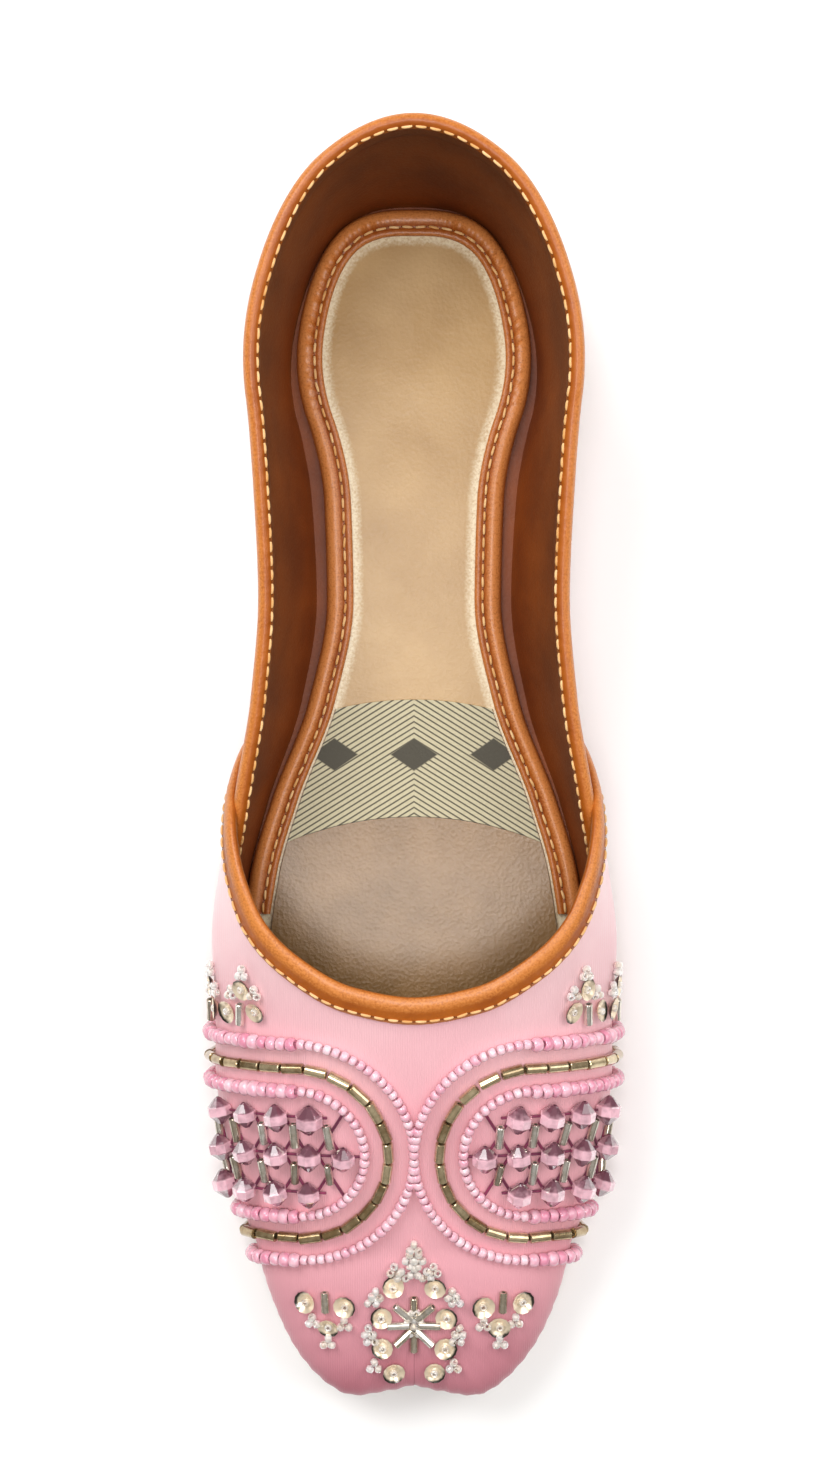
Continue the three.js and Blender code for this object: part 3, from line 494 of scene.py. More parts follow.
def satinRelief(points, s, side):
    x, y, z = points[..., 0] * side, points[..., 1], points[..., 2]
    deep, along, alongPhase, across, acrossPhase = upper["swell"]
    relief = deep * np.sin(y / along + alongPhase) * np.sin(x / across + acrossPhase)
    deep, along, across = upper["ripple"]
    relief = relief + deep * np.sin(y / along + x / across)
    for hand, s0, climb0, s1, climb1, width, depth in upper["creases"]:
        if hand == side:
            start, end = lastPoint(np.array([s0, s1]), np.array([climb0, climb1]))
            way = end - start
            t = np.clip(((points - start) @ way) / (way @ way), 0, 1)
            off = np.linalg.norm(points - start - t[..., None] * way, axis=-1)
            relief = relief - depth * np.exp(-(off / width) ** 2) * (0.35 + 0.65 * np.sin(math.pi * t))
    run = np.interp(s, edgeRows, edgeLength)
    near = np.exp(-np.maximum(z - section(s, "floor"), 0) / upper["pleatHeight"])
    near = near * (1 - smoothStep(*upper["pleatEnd"], s))
    drift, length = upper["pleatDrift"]
    pull = np.sin(2 * math.pi * run / upper["pleatPitch"] + drift * np.sin(run / length + side))
    return relief + upper["pleatDepth"] * near * pull


def wallSheet(s, top, lift, side, edgeWall):
    outerShare = np.linspace(0, 1, upper["outerSteps"] + 1)
    innerShare = np.linspace(0, 1, upper["innerSteps"] + 1)
    floor = section(s, "floor")
    foot = np.minimum(climbAt(s, floor + upper["lasted"]), top / 2)
    rows = np.broadcast_to(s[:, None], (len(s), len(outerShare)))
    climb = top[:, None] * outerShare
    outer = onLast(rows, climb, lift[:, None])
    low, high = upper["reliefFrom"], upper["reliefTo"]
    fade = smoothStep(0, low, outerShare) * smoothStep(1.0, high, outerShare)
    crown = satinRelief(outer, rows, 1) * smoothStep(upper["crownFade"], high, outerShare)
    ridge = (top == 1)[:, None] & (outerShare > high)  # the crown is no free edge, so its relief goes on
    relief = np.where(ridge, crown, satinRelief(outer, rows, side) * fade)
    outer = outer + lastFrame(rows, climb)[2] * relief[..., None]
    outer[:, 0, 2] = floor
    free = smoothStep(1.0, upper["pareTop"], top)[:, None] * smoothStep(*upper["pareShare"], innerShare)
    inside = lift[:, None] - last["wall"] + (last["wall"] - edgeWall) * free
    inner = onLast(s[:, None], top[:, None] + (foot - top)[:, None] * innerShare, inside)
    turnedIn = section(s, "insole") + upper["lastedClear"]
    edge = np.stack([inSection(s, turnedIn, inner[:, -1, 2]), inSection(s, turnedIn, floor)], 1)
    return onCentre(np.concatenate([outer, inner, edge], 1)) * (side, 1, 1)


def wallFaces(top):
    columns = upper["outerSteps"] + upper["innerSteps"] + 4
    faces = gridFaces(len(top), columns, True)
    station = np.repeat(np.arange(len(top) - 1), columns)
    column = np.tile(np.arange(columns), len(top) - 1)
    crown = (column == upper["outerSteps"]) & (top[station] == 1) & (top[station + 1] == 1)
    satinFace = column < upper["outerSteps"]
    return faces[~crown].tolist(), np.where(satinFace, 0, 1)[~crown].tolist(), columns


def buildUpper():
    throatS, throatTop = throatEdge(upper["throatSteps"])
    toe = np.linspace(0, last["toeEnd"], upper["toeSteps"] + 1)
    front = np.linspace(last["toeEnd"], throatS[0], upper["frontSteps"] + 1)[1:-1]
    vampS = np.concatenate([toe, front, throatS])
    vampTop = np.concatenate([np.ones(len(toe) + len(front)), throatTop])
    quarterS, quarterTop = quarterEdge(upper["sideSteps"], upper["heelSteps"])
    points, faces, kinds = np.zeros((0, 3)), [], []
    sheets = ((vampS, vampTop, vampLift(section(vampS, "at")), upper["vampEdge"], True),
              (quarterS, quarterTop, noLift(quarterS), upper["collarEdge"], False))
    for s, top, lift, edgeWall, closedEnd in sheets:
        left, right = [wallSheet(s, top, lift, side, edgeWall).reshape(-1, 3) for side in (1, -1)]
        sheetFaces, sheetKinds, columns = wallFaces(top)
        first = (len(s) - 1) * columns if closedEnd else 0
        sheetFaces.append(list(range(first, first + columns)))
        whole, wholeFaces = bothSides(left, sheetFaces, right)
        faces += [[k + len(points) for k in face] for face in wholeFaces]
        kinds += (sheetKinds + [1]) * 2
        points = np.concatenate([points, whole])
    makePiece("upper_wall", points, faces, [satin, liningLeather], ["upper"], kinds)


buildUpper()


# Strips folded over the free edges
binding = {
    "thick": 0.95,
    "thin": 0.4,  # on the lined side
    "rim": 1.5,
    "throatRim": 1.9,
    "collarOut": 3.0,
    "collarIn": 5.0,
    "throatOut": 3.7,
    "throatIn": 2.4,
    "stitchPitch": 2.6,
    "stitchLength": 2.1,
    "stitchRadius": 0.25,
    "stitchRaise": 0.12,
    "stitchLean": 0.06,
    "holeSize": (0.4, 0.17, 0.17),
    "pucker": 0.12,
    "puckerReach": 1.1,
    "bendSteps": 14,
    "rubAndHighlightTurn": 50,  # where on the roll the rub and painted highlight are strongest, in degrees
    "linedFrom": 18,  # first column of the folded profile that the lining covers
    "sideSteps": 190,
    "heelSteps": 110,
    "throatSteps": 190,
    "collarBend": -52,  # where the stitches sit on the rolled edge, in degrees
    "throatStitch": 2.7,
}


def boundEdge(s, top, lift):
    spots = onLast(s, top, lift(section(s, "at")))
    heading = np.gradient(spots, axis=0)
    centre = np.abs(spots[:, 0]) < 1e-4
    heading[centre, 1:] = 0
    along, up, out = lastFrame(s, top)
    return {"s": s, "top": top, "lift": lift, "spots": spots, "along": along, "up": up, "out": out,
            "inward": unit(np.cross(out, heading))}


def onEdge(edge, depth, off):  # places at a depth below the edge and a distance off the wall
    depth, off = [np.broadcast_to(v, (len(edge["s"]), np.shape(v)[-1])) for v in (depth, off)]
    along, up, inward = edge["along"], edge["up"], edge["inward"]
    aa, au, uu = [(a * b).sum(-1)[:, None] for a, b in ((along, along), (along, up), (up, up))]
    ia = (inward * along).sum(-1)[:, None] * depth
    iu = (inward * up).sum(-1)[:, None] * depth
    scale = 1 / (aa * uu - au * au)
    s = edge["s"][:, None] + (ia * uu - iu * au) * scale
    climb = edge["top"][:, None] + (iu * aa - ia * au) * scale
    wrapped = onLast(s, climb, edge["lift"](section(s, "at")) + off)
    straight = edge["spots"][:, None] + inward[:, None] * depth[..., None]
    straight = straight + edge["out"][:, None] * off[..., None]
    return np.where((depth <= 0)[..., None], straight, wrapped)


def foldRoll(bend, rim, wall):  # depth and distance off the wall at an angle of the rolled edge
    high, low = binding["thick"] * 1.12, -wall - binding["thin"] * 1.12
    return 0.5 - (rim + 0.5) * math.cos(bend), (high + low) / 2 + (high - low) / 2 * math.sin(bend)


def foldProfile(outside, inside, rim, wall):  # depth, distance off the wall, rub and painted highlight
    thick, thin = binding["thick"], binding["thin"]
    rows = [(outside, -0.15, 0.2), (outside, thick * 0.55, 0.5), (outside - 0.3, thick * 0.9, 0.6),
            (outside * 0.55 + 0.4, thick, 0.0), (1.3, thick * 1.03, 0.1)]
    for bend in np.radians(np.linspace(90, -90, binding["bendSteps"] + 1)):
        # rub and painted highlight, strongest on the roll's outer shoulder
        rub_and_painted_highlight = 0.9 * max(math.cos(bend - math.radians(binding["rubAndHighlightTurn"])), 0) ** 2
        rows.append((*foldRoll(bend, rim, wall), rub_and_painted_highlight))
    rows += [(1.3, -wall - thin * 1.03, 0.0), (inside * 0.55 + 0.4, -wall - thin, 0.0),
             (inside - 0.3, -wall - thin * 0.9, 0.0), (inside, -wall - thin * 0.55, 0.0),
             (inside, -wall + 0.15, 0.0), (0.3, -wall + 0.15, 0.0), (0.3, -0.15, 0.0)]
    return np.array(rows)


def lineRun(line):
    return np.concatenate([[0], np.cumsum(np.linalg.norm(np.diff(line, axis=0), axis=1))])


def stitchedStrip(name, edge, profile, depth, off, face, node):  # face: 1 sewn outside, -1 on the lined side
    line = onEdge(edge, [depth], [off])[:, 0]
    pull = 0.5 + 0.5 * np.cos(2 * math.pi * lineRun(line) / binding["stitchPitch"])
    apart = (profile[:, 0] - depth) ** 2 + (profile[:, 1] - off) ** 2
    near = binding["pucker"] * np.exp(-apart / binding["puckerReach"] ** 2)
    rings = onCentre(onEdge(edge, profile[:, 0], profile[:, 1] - face * pull[:, None] * near[None, :]))
    rows, columns = rings.shape[:2]
    faces = gridFaces(rows, columns, True).tolist()
    lined = np.arange(columns) >= binding["linedFrom"]
    kinds = np.tile(np.where(lined, 1, 0), rows - 1).tolist() + [0]
    startsFree = np.abs(rings[0, :, 0]).max() > 1 and np.abs(rings[-1, :, 0]).max() < 0.1
    faces.append(endCaps(rows, columns)[0 if startsFree else 1])
    points, faces = bothSides(rings.reshape(-1, 3), faces)
    marks = {"rub_and_painted_highlight": np.tile(profile[:, 2], rows * 2)}
    leathers = [bindingLeather, liningLeather]
    makePiece(name, points, faces, leathers, [node], kinds * 2, marks)
    above = onEdge(edge, [depth - 0.12 * (face < 0)], [off + face * 0.2])[:, 0]
    return line, unit(above - line)


def wholeLine(line, out):  # one side's line, which meets the centre plane at its end, and its mirror image
    flip = np.array((-1, 1, 1))
    if abs(line[0, 0]) < abs(line[-1, 0]):
        line, out = line[::-1], out[::-1]
    return np.concatenate([line, line[::-1][1:] * flip]), np.concatenate([out, out[::-1][1:] * flip])


def spread(line, out, pitch):  # even places along a line, with its heading and the way out
    run = lineRun(line)
    count = max(int(run[-1] / pitch), 1)
    at = (np.arange(count) + 0.5) * (run[-1] / count)

    def pick(values, t):
        return np.stack([np.interp(t, run, values[:, k]) for k in range(3)], -1)

    heading = unit(pick(line, at + 0.3) - pick(line, at - 0.3))
    return pick(line, at), heading, unit(pick(out, at))


def tubeSizes(length, radius):
    across = np.full(len(length), radius)
    return np.stack([length, across, across], -1)


def turned(profile, sides):  # a body turned about X from a closed outline of (along, radius)
    angle = np.arange(sides) * 2 * math.pi / sides
    outline = np.asarray(profile, float)
    ring = np.stack([np.cos(angle), np.sin(angle)], -1)
    along = np.repeat(outline[:, None, :1], sides, 1)
    points = np.concatenate([along, outline[:, None, 1:] * ring[None]], -1)
    around = np.arange(sides)
    faces = []
    for i in range(len(outline)):
        j = (i + 1) % len(outline)
        faces += np.stack([i * sides + around, j * sides + around, j * sides + (around + 1) % sides,
                           i * sides + (around + 1) % sides], -1).tolist()
    return points.reshape(-1, 3), faces


def scatter(name, template, spots, heading, out, sizes, material, slot, replaced=(), sharp=40, tones=None,
            shades=0.0):
    shape, faces = template
    side = unit(np.cross(out, heading))
    out = np.cross(heading, side)
    basis = np.stack([heading, side, out], 1)
    scaled = shape[None] * np.broadcast_to(np.asarray(sizes, float), (len(spots), 3))[:, None]
    points = np.einsum("nvk,nkc->nvc", scaled, basis) + spots[:, None]
    step = np.arange(len(spots))[:, None, None] * len(shape)
    allFaces = (np.asarray(faces)[None] + step).reshape(-1, len(faces[0]))
    tones = draw.random(len(spots)) if tones is None else tones
    marks = {"tone": (tones[:, None] + np.broadcast_to(shades, len(shape))[None]).reshape(-1)}
    makePiece(name, points.reshape(-1, 3), allFaces, [material], replaced, marks=marks, weld=0,
              sharp=sharp)


stitchBody = turned([(-0.5, 0.2), (-0.42, 0.75), (-0.2, 1.0), (0.2, 1.0), (0.42, 0.75), (0.5, 0.2),
                     (0.3, 0.1), (-0.3, 0.1)], 8)
stitchBody[0][:, 2] -= 9 * stitchBody[0][:, 0] ** 4  # both ends dive into their needle holes
holeBody = turned([(-0.1, 0.05), (-0.1, 0.9), (0.05, 1.0), (0.15, 0.7), (0.1, 0.05)], 7)


def sewStitches(name, line, out):
    spots, heading, normal = spread(line, out, binding["stitchPitch"])
    lean = draw.normal(0, binding["stitchLean"], (len(spots), 1))
    heading = unit(heading + lean * np.cross(normal, heading))
    length = binding["stitchLength"]
    sizes = tubeSizes(length * draw.uniform(0.92, 1.06, len(spots)), binding["stitchRadius"])
    scatter(name, stitchBody, spots + normal * binding["stitchRaise"], heading, normal, sizes, sewingThread,
            "binding_leather")
    ends = np.concatenate([spots + heading * sign * length * 0.52 for sign in (-1, 1)])
    normals, headings = np.tile(normal, (2, 1)), np.tile(heading, (2, 1))
    scatter(name + "_holes", holeBody, ends + normals * 0.02, normals, headings, binding["holeSize"],
            needleHole, "binding_leather")


def buildBindings():
    s, top = quarterEdge(binding["sideSteps"], binding["heelSteps"])
    edge = boundEdge(s[2:], top[2:], noLift)
    rim, wall = binding["rim"], upper["collarEdge"]
    profile = foldProfile(binding["collarOut"], binding["collarIn"], rim, wall)
    depth, off = foldRoll(math.radians(binding["collarBend"]), rim, wall)
    collarLine = stitchedStrip("collar_strip", edge, profile, depth, off, -1, "collar_binding")
    sewStitches("collar_stitches", *wholeLine(*collarLine))
    edge = boundEdge(*throatEdge(binding["throatSteps"]), vampLift)
    profile = foldProfile(binding["throatOut"], binding["throatIn"], binding["throatRim"], upper["vampEdge"])
    depth, off = binding["throatStitch"], binding["thick"]
    throatLine = stitchedStrip("throat_strip", edge, profile, depth, off, 1, "vamp_binding")
    sewStitches("throat_stitches", *wholeLine(*throatLine))


buildBindings()

# Insole: leather covered board, bound with a rolled strip, with label and sock on it
insole = {
    "thick": 3.2,
    "setIn": 1.9,
    "crown": 0.35,
    "frontRow": -27,
    "coverSetIn": 5.0,
    "coverLow": 3.25,
    "sockThick": 0.95,
    "labelThick": 0.75,
    "coverArc": 66,
    "coverCrown": 0.3,
    "sockBack": -7.4,
    "labelBack": 16.2,
    "stitchSetIn": 3.0,
    "stitchHeight": 4.32,
    "gather": 0.75,
    "gatherPitch": 2.6,
    "gatherRows": (14.0, 14.6, 16.2, 16.8),  # rows where the gathers start and end
    "groovePull": 0.14,
    "bindingOver": 2.4,  # how much of the board the binding covers
    "frayWidth": 2.4,
    "frayStart": 1.25,
}
# outer edge, rolled rim, stitch groove, flange: set-in from the outer edge, height over the floor, rub and
# painted highlight
weltRows = ((0, 0.3, 0.0), (-0.1, 1.7, 0.0), (-0.7, 2.3, 0.1), (-0.75, 3.2, 0.4), (-0.2, 4.1, 0.8),
            (0.6, 4.65, 1.0), (1.4, 4.8, 1.0), (2.1, 4.65, 0.6), (2.6, 4.3, 0.1), (3.0, 4.12, 0.0),
            (3.4, 4.25, 0.2), (3.9, 4.4, 0.5), (4.4, 4.25, 0.7), (4.6, 3.9, 0.6), (4.6, 3.35, 0.2),
            (1.6, 3.3, 0.0), (1.6, 0.3, 0.0))


def bodyRows(toe, body, heel):
    return np.concatenate([np.linspace(0, last["toeEnd"], toe + 1),
                           np.linspace(last["toeEnd"], last["heelSide"], body + 1)[1:],
                           np.linspace(last["heelSide"], last["heel"], heel + 1)[1:]])


def halfLayer(s, reach, profile):  # profile: share of the reach, mm beyond it, height over the floor
    floor = section(s, "floor")
    rings = [inSection(s, reach * share + beyond, floor + height) for share, beyond, height in profile]
    return onCentre(np.stack(rings, 1))


def buildInsole():
    s = bodyRows(40, 130, 50)
    reach = section(s, "insole") - insole["setIn"]
    shares = np.linspace(0, 1, 15)
    top = [(u, 0, insole["thick"] + insole["crown"] * (1 - u ** 4)) for u in shares]
    rings = halfLayer(s, reach, top + [(1, 0, 0.4), (1, -0.4, 0.02), (0, 0, 0.02)])
    rows, columns = rings.shape[:2]
    faces = gridFaces(rows, columns).tolist()
    points, faces = bothSides(rings.reshape(-1, 3), faces)
    inside = np.concatenate([1 - shares, [0, 0, 1]])
    distance = reach[:, None] * inside[None] - insole["bindingOver"]  # from the inner edge of the binding
    frayed = np.clip(insole["frayStart"] - distance / insole["frayWidth"], 0, 1).reshape(-1)
    makePiece("insole_board", points, faces, [insoleLeather], ["insole"], None,
              {"edge": np.tile(frayed, 2)})


def buildWelt():
    front = float(rowAt(insole["frontRow"]))
    s = np.concatenate([np.linspace(front, last["heelSide"], 150),
                        np.linspace(last["heelSide"], last["heel"], 90)[1:]])
    rows = np.array(weltRows)
    run = np.interp(s, edgeRows, edgeLength)
    start, full, slack, end = insole["gatherRows"]
    tight = smoothStep(start, full, s) * (1 - smoothStep(slack, end, s))
    ripple = insole["gather"] * tight * (np.abs(np.sin(math.pi * run / insole["gatherPitch"])) - 0.5)
    rim = np.exp(-((rows[:, 0] - 1.6) / 1.5) ** 2) * (rows[:, 1] > 3.4)
    pull = 0.5 + 0.5 * np.cos(2 * math.pi * run / binding["stitchPitch"])
    groove = np.exp(-((rows[:, 0] - insole["stitchSetIn"]) / 0.7) ** 2) * (rows[:, 1] > 3.6)
    height = rows[:, 1] + ripple[:, None] * rim - insole["groovePull"] * pull[:, None] * groove
    reach, floor = section(s, "insole"), section(s, "floor")
    rings = onCentre(inSection(s[:, None], reach[:, None] - rows[:, 0], floor[:, None] + height))
    count, columns = rings.shape[:2]
    faces = gridFaces(count, columns, True).tolist() + [list(range(columns))]
    points, faces = bothSides(rings.reshape(-1, 3), faces)
    makePiece("insole_welt", points, faces, [weltLeather], ["insole_binding"], None,
              {"rub_and_painted_highlight": np.tile(rows[:, 2], count * 2)})
    line = inSection(s, reach - insole["stitchSetIn"], floor + insole["stitchHeight"])
    sewStitches("welt_stitches", *wholeLine(line, np.tile((0.0, 0.0, 1.0), (len(s), 1))))


def coverSheet(name, s, bend, thick, material, node):  # a thin cover whose cross edges are arcs
    shares = np.linspace(-1, 1, 41)
    place = section(s, "at")
    arc = insole["coverArc"]

    def spot(lift, margin):
        reach = (section(s, "insole") - insole["coverSetIn"] - margin)[:, None]
        at = np.repeat(place[:, None], len(shares), 1)
        x = reach * np.abs(shares)
        rows = np.repeat(s[:, None], len(shares), 1)
        for step in range(3):  # the arc and the outline settle on each other
            drop = (np.sqrt(arc ** 2 - np.minimum(x, arc) ** 2) - arc) * bend[:, None]
            rows = np.where(bend[:, None] > 0, rowAt(at + drop), rows)
            x = (section(rows, "insole") - insole["coverSetIn"] - margin) * np.abs(shares)
        point = inSection(rows, x, section(rows, "floor") + lift)
        point[..., 0] *= -np.sign(shares)
        return point

    high = spot(insole["coverLow"] + thick, 0.25)
    high[..., 2] += insole["coverCrown"] * (1 - shares ** 2)
    low = spot(insole["coverLow"], 0.0)
    ring = np.concatenate([high, low[:, ::-1]], 1)
    rows, columns = ring.shape[:2]
    faces = gridFaces(rows, columns, True).tolist() + endCaps(rows, columns)
    makePiece(name, ring.reshape(-1, 3), faces, [material], [node])


def buildCovers():
    rear = float(rowAt(insole["sockBack"]))
    s = np.concatenate([np.linspace(0.4, last["toeEnd"], 24), np.linspace(last["toeEnd"], rear, 80)[1:]])
    bend = smoothStep(-45, insole["sockBack"], section(s, "at"))
    coverSheet("sock_leather_front", s, bend, insole["sockThick"], sockLeather,
               "forefoot_sock")
    s = np.linspace(float(rowAt(insole["sockBack"] + 0.1)), float(rowAt(insole["labelBack"])), 50)
    coverSheet("waist_label", s, np.ones(len(s)), insole["labelThick"], label, "label_patch")


buildInsole()
buildWelt()
buildCovers()

# Sole: one bent leather layer with a low heel of stacked lifts
sole = {
    "gap": 0.3,
    "thick": 4.2,
    "margin": 1.3,
    "round": 0.7,
    "heelBreast": 62,
    "heelSetIn": 0.6,
    "heelTop": 8.0,
    "lifts": 3,
    "groove": 0.25,
}


def buildSole():
    s = bodyRows(60, 150, 60)
    reach = section(s, "sole") + sole["margin"]
    top, low, bend = -sole["gap"], -sole["gap"] - sole["thick"], sole["round"]
    profile = [(u, -bend * u, low) for u in np.linspace(0, 1, 10)]
    profile += [(1, -0.3 * bend, low + 0.12), (1, -0.05, low + 0.5 * bend), (1, 0, low + bend)]
    middle = (top + low) / 2
    profile += [(1, 0, middle - 0.35), (1, -0.18, middle), (1, 0, middle + 0.35)]
    profile += [(1, 0, top - bend), (1, -0.2 * bend, top - 0.2 * bend), (1, -bend, top), (0, 0, top)]
    rings = halfLayer(s, reach, profile)
    points, faces = bothSides(rings.reshape(-1, 3), gridFaces(*rings.shape[:2]).tolist())
    heelRows = np.linspace(float(rowAt(sole["heelBreast"])), last["heel"], 60)
    levels = [(0.0, 0.7), (0.15, 0.25), (0.5, 0.0)]
    lift = sole["heelTop"] / sole["lifts"]
    for k in range(1, sole["lifts"]):
        levels += [(lift * k - 0.25, 0.0), (lift * k, sole["groove"]), (lift * k + 0.25, 0.0)]
    levels.append((sole["heelTop"], 0.0))
    rings = []
    reach = section(heelRows, "sole") + sole["margin"] - sole["heelSetIn"]
    for height, setIn in levels:
        left = inSection(heelRows, reach - setIn, height)
        left[0, 1] += setIn
        left[-1, 0] = 0
        rings.append(np.concatenate([left, left[::-1][1:] * (-1, 1, 1)]))
    rings = np.array(rings)
    rows, columns = rings.shape[:2]
    block = gridFaces(rows, columns, True).tolist() + endCaps(rows, columns)
    faces += [[k + len(points) for k in face] for face in block]
    points = np.concatenate([points, rings.reshape(-1, 3)])
    makePiece("leather_sole", points, faces, [soleLeather], ["outsole"], sharp=40)


buildSole()

# Bead work on the vamp; across is measured over the surface from the centre line
beads = {
    "centre": (22.4, -71.7),  # across, along
    "outer": 22.4,
    "bugle": 17.5,
    "inner": 13.0,
    "rowEnd": 4.0,
    "armBead": 1.42,
    "bendBead": 1.02,
    "armPitch": 2.0,
    "bendPitch": 1.72,
    "bugleLength": 4.3,
    "bugleRadius": 1.08,
    "crystalRows": ((-63.9, (19.8, 26.4, 33.0, 39.6)), (-71.7, (13.4, 20.0, 26.6, 33.2, 39.8)),
                    (-79.5, (20.2, 26.8, 33.4, 39.6))),
    "crystalRadius": 2.45,
    "crystalHalf": 2.8,
    "uprights": (16.4, 23.2, 29.8, 36.4, 42.4),
    "uprightLength": 4.7,
    "uprightRadius": 0.86,
    "seedSeat": 0.92,  # height of a bead's middle over the satin, as a share of its radius
    "bugleSeat": 0.95,
    "crystalSeat": 0.85,
    "uprightSeat": 1.15,
    "bendTones": (0.0, 0.55),  # pale seeds on the bends, pinker ones on the arms
    "armTones": (0.35, 1.0),
    "threadLean": 3.0,
}
slices = {}


def vampSlice(at):
    key = round(float(at), 3)
    if key not in slices:
        start = 1.0
        if at < lastTable["at"][0]:
            start = 1 - float(bisect(lambda c: -lastPoint(0.0, 1 - c)[..., 1], -at, 0, 1))
        climb = np.linspace(start, 0, 65)
        s = bisect(lambda row: lastPoint(row, climb)[..., 1], np.full(65, float(at)), 0, last["heelSide"])
        slices[key] = (onLast(s, climb, vampLift(section(s, "at"))), lastFrame(s, climb)[2])
    return slices[key]


def onVamp(at, across, lift):
    spots, outs = vampSlice(at)
    run = lineRun(spots)
    reach = abs(across)
    place = np.array([np.interp(reach, run, spots[:, k]) for k in range(3)])
    out = unit(np.array([np.interp(reach, run, outs[:, k]) for k in range(3)]))
    side = np.array((1 if across >= 0 else -1, 1, 1))
    return (place + out * lift) * side, out * side


def vampLine(route, lift):
    lifts = np.broadcast_to(lift, len(route))
    found = [onVamp(at, across, height) for (at, across), height in zip(route, lifts)]
    return np.array([p for p, o in found]), np.array([o for p, o in found])


def toHeel(outs):  # the way to the heel over the surface
    return unit(np.array((0.0, 1.0, 0.0)) - outs * outs[:, 1:2])


def horseshoeParts(radius, side):  # the heel-side arm, the bend and the toe-side arm
    across, at = beads["centre"]

    def arm(place):
        end = lineRun(vampSlice(place)[0])[-1] - beads["rowEnd"]
        return [(place, side * a) for a in np.linspace(end, across, 14)]

    turn = np.linspace(0, math.pi, 40)
    bend = [(at + radius * math.cos(t), side * (across - radius * math.sin(t))) for t in turn]
    return arm(at + radius), bend, arm(at - radius)[::-1]


seedBody = turned([(-0.62, 0.42), (-0.72, 0.66), (-0.55, 0.9), (-0.2, 1.0), (0.2, 1.0), (0.55, 0.9),
                   (0.72, 0.66), (0.62, 0.42), (0.0, 0.3)], 12)
bugleBody = turned([(-0.5, 0.5), (-0.5, 0.86), (-0.47, 1.0), (0.47, 1.0), (0.5, 0.86), (0.5, 0.5)], 12)
crystalBody = turned([(-1.0, 0.14), (-0.92, 0.3), (-0.4, 0.86), (-0.3, 1.0), (0.3, 1.0), (0.4, 0.86),
                      (0.92, 0.3), (1.0, 0.14), (0.6, 0.1), (-0.6, 0.1)], 8)
sequinBody = turned([(0.02, 0.12), (0.0, 0.52), (0.34, 0.98), (0.42, 1.0), (0.26, 0.7), (0.12, 0.5),
                     (0.12, 0.12)], 12)


def jitter(count, size, spreadOut=0.05):
    return np.asarray(size, float) * draw.normal(1, spreadOut, (count, 1)).clip(0.85, 1.15)


def tilt(heading, amount):
    return unit(heading + draw.normal(0, amount, heading.shape))


def stringSeeds(name, rows, node):
    spots, headings, outs, sizes, tones = [], [], [], [], []
    for radius, side in rows:
        for part, kind in zip(horseshoeParts(radius, side), ("arm", "bend", "arm")):
            bead = beads[kind + "Bead"]
            line, out = vampLine(part, bead * beads["seedSeat"])
            place, heading, normal = spread(line, out, beads[kind + "Pitch"])
            spots.append(place)
            headings.append(tilt(heading, 0.10))
            outs.append(normal)
            sizes.append(jitter(len(place), (bead, bead, bead)))
            tones.append(draw.uniform(*beads[kind + "Tones"], len(place)))
    joined = [np.concatenate(part) for part in (spots, headings, outs, sizes)]
    scatter(name, seedBody, *joined, seedGlass, "pink_glass", [node], tones=np.concatenate(tones))


def stringBugles(name, side, node):
    parts = horseshoeParts(beads["bugle"], side)
    route = parts[0] + parts[1][1:] + parts[2][1:]
    radius = beads["bugleRadius"]
    line, out = vampLine(route, radius * beads["bugleSeat"])
    place, heading, normal = spread(line, out, beads["bugleLength"] + 0.2)
    size = jitter(len(place), (beads["bugleLength"] - 0.1, radius, radius), 0.03)
    scatter(name, bugleBody, place, tilt(heading, 0.03), normal, size, linedGlass, "lined_glass", [node], 35)


def threadTube(points, outs, radius):  # a thread as short straight lengths
    way = points[1:] - points[:-1]
    length = np.linalg.norm(way, axis=1)
    return (points[:-1] + points[1:]) / 2, unit(way), outs[:-1], tubeSizes(length, radius)


def buildLattice(hand, side):
    half, radius = beads["crystalHalf"], beads["crystalRadius"]
    stones = [(at, side * across) for at, row in beads["crystalRows"] for across in row]
    spots, outs = vampLine(stones, radius * beads["crystalSeat"])
    sizes = jitter(len(spots), (half, radius, radius), 0.04)
    along = np.abs(crystalBody[0][:, 0])
    bandAndPaintedTipReflection = np.where(along > 0.8, 1.2, np.where(along > 0.35, 0.7, -0.25))  # pale middle, painted dark reflection on the clear tips
    scatter("crystals_" + hand, crystalBody, spots, tilt(toHeel(outs), 0.08), outs, sizes, crystalGlass,
            "pink_glass", ["crystal_lattice_" + hand], 0, draw.uniform(0, 0.3, len(spots)), bandAndPaintedTipReflection)
    rows = [at for at, row in beads["crystalRows"]]
    gaps = list(zip(rows[:-1], rows[1:]))
    route = [((a + b) / 2, side * across) for a, b in gaps for across in beads["uprights"]]
    length, radius = beads["uprightLength"], beads["uprightRadius"]
    spots, outs = vampLine(route, radius * beads["uprightSeat"])
    size = jitter(len(route), (length, radius, radius), 0.04)
    scatter("uprights_" + hand, bugleBody, spots, tilt(toHeel(outs), 0.05), outs, size, silverGlass,
            "lined_glass", sharp=35)
    pieces = []
    for a, b in gaps:
        for across in beads["uprights"]:
            for lean in (-beads["threadLean"], beads["threadLean"]):
                ends = [(a + 1.0, side * (across + lean)), ((a + b) / 2, side * across),
                        (b - 1.0, side * (across - lean))]
                pieces.append(threadTube(*vampLine(ends, 0.5), 0.3))
    for at, row in beads["crystalRows"]:
        ends = [(at, side * a) for a in np.linspace(row[0] - 3.2, row[-1] + 3.0, 12)]
        pieces.append(threadTube(*vampLine(ends, 0.9), 0.28))
    joined = [np.concatenate(part) for part in zip(*pieces)]
    scatter("lattice_threads_" + hand, bugleBody, *joined, beadThread, "pink_glass")


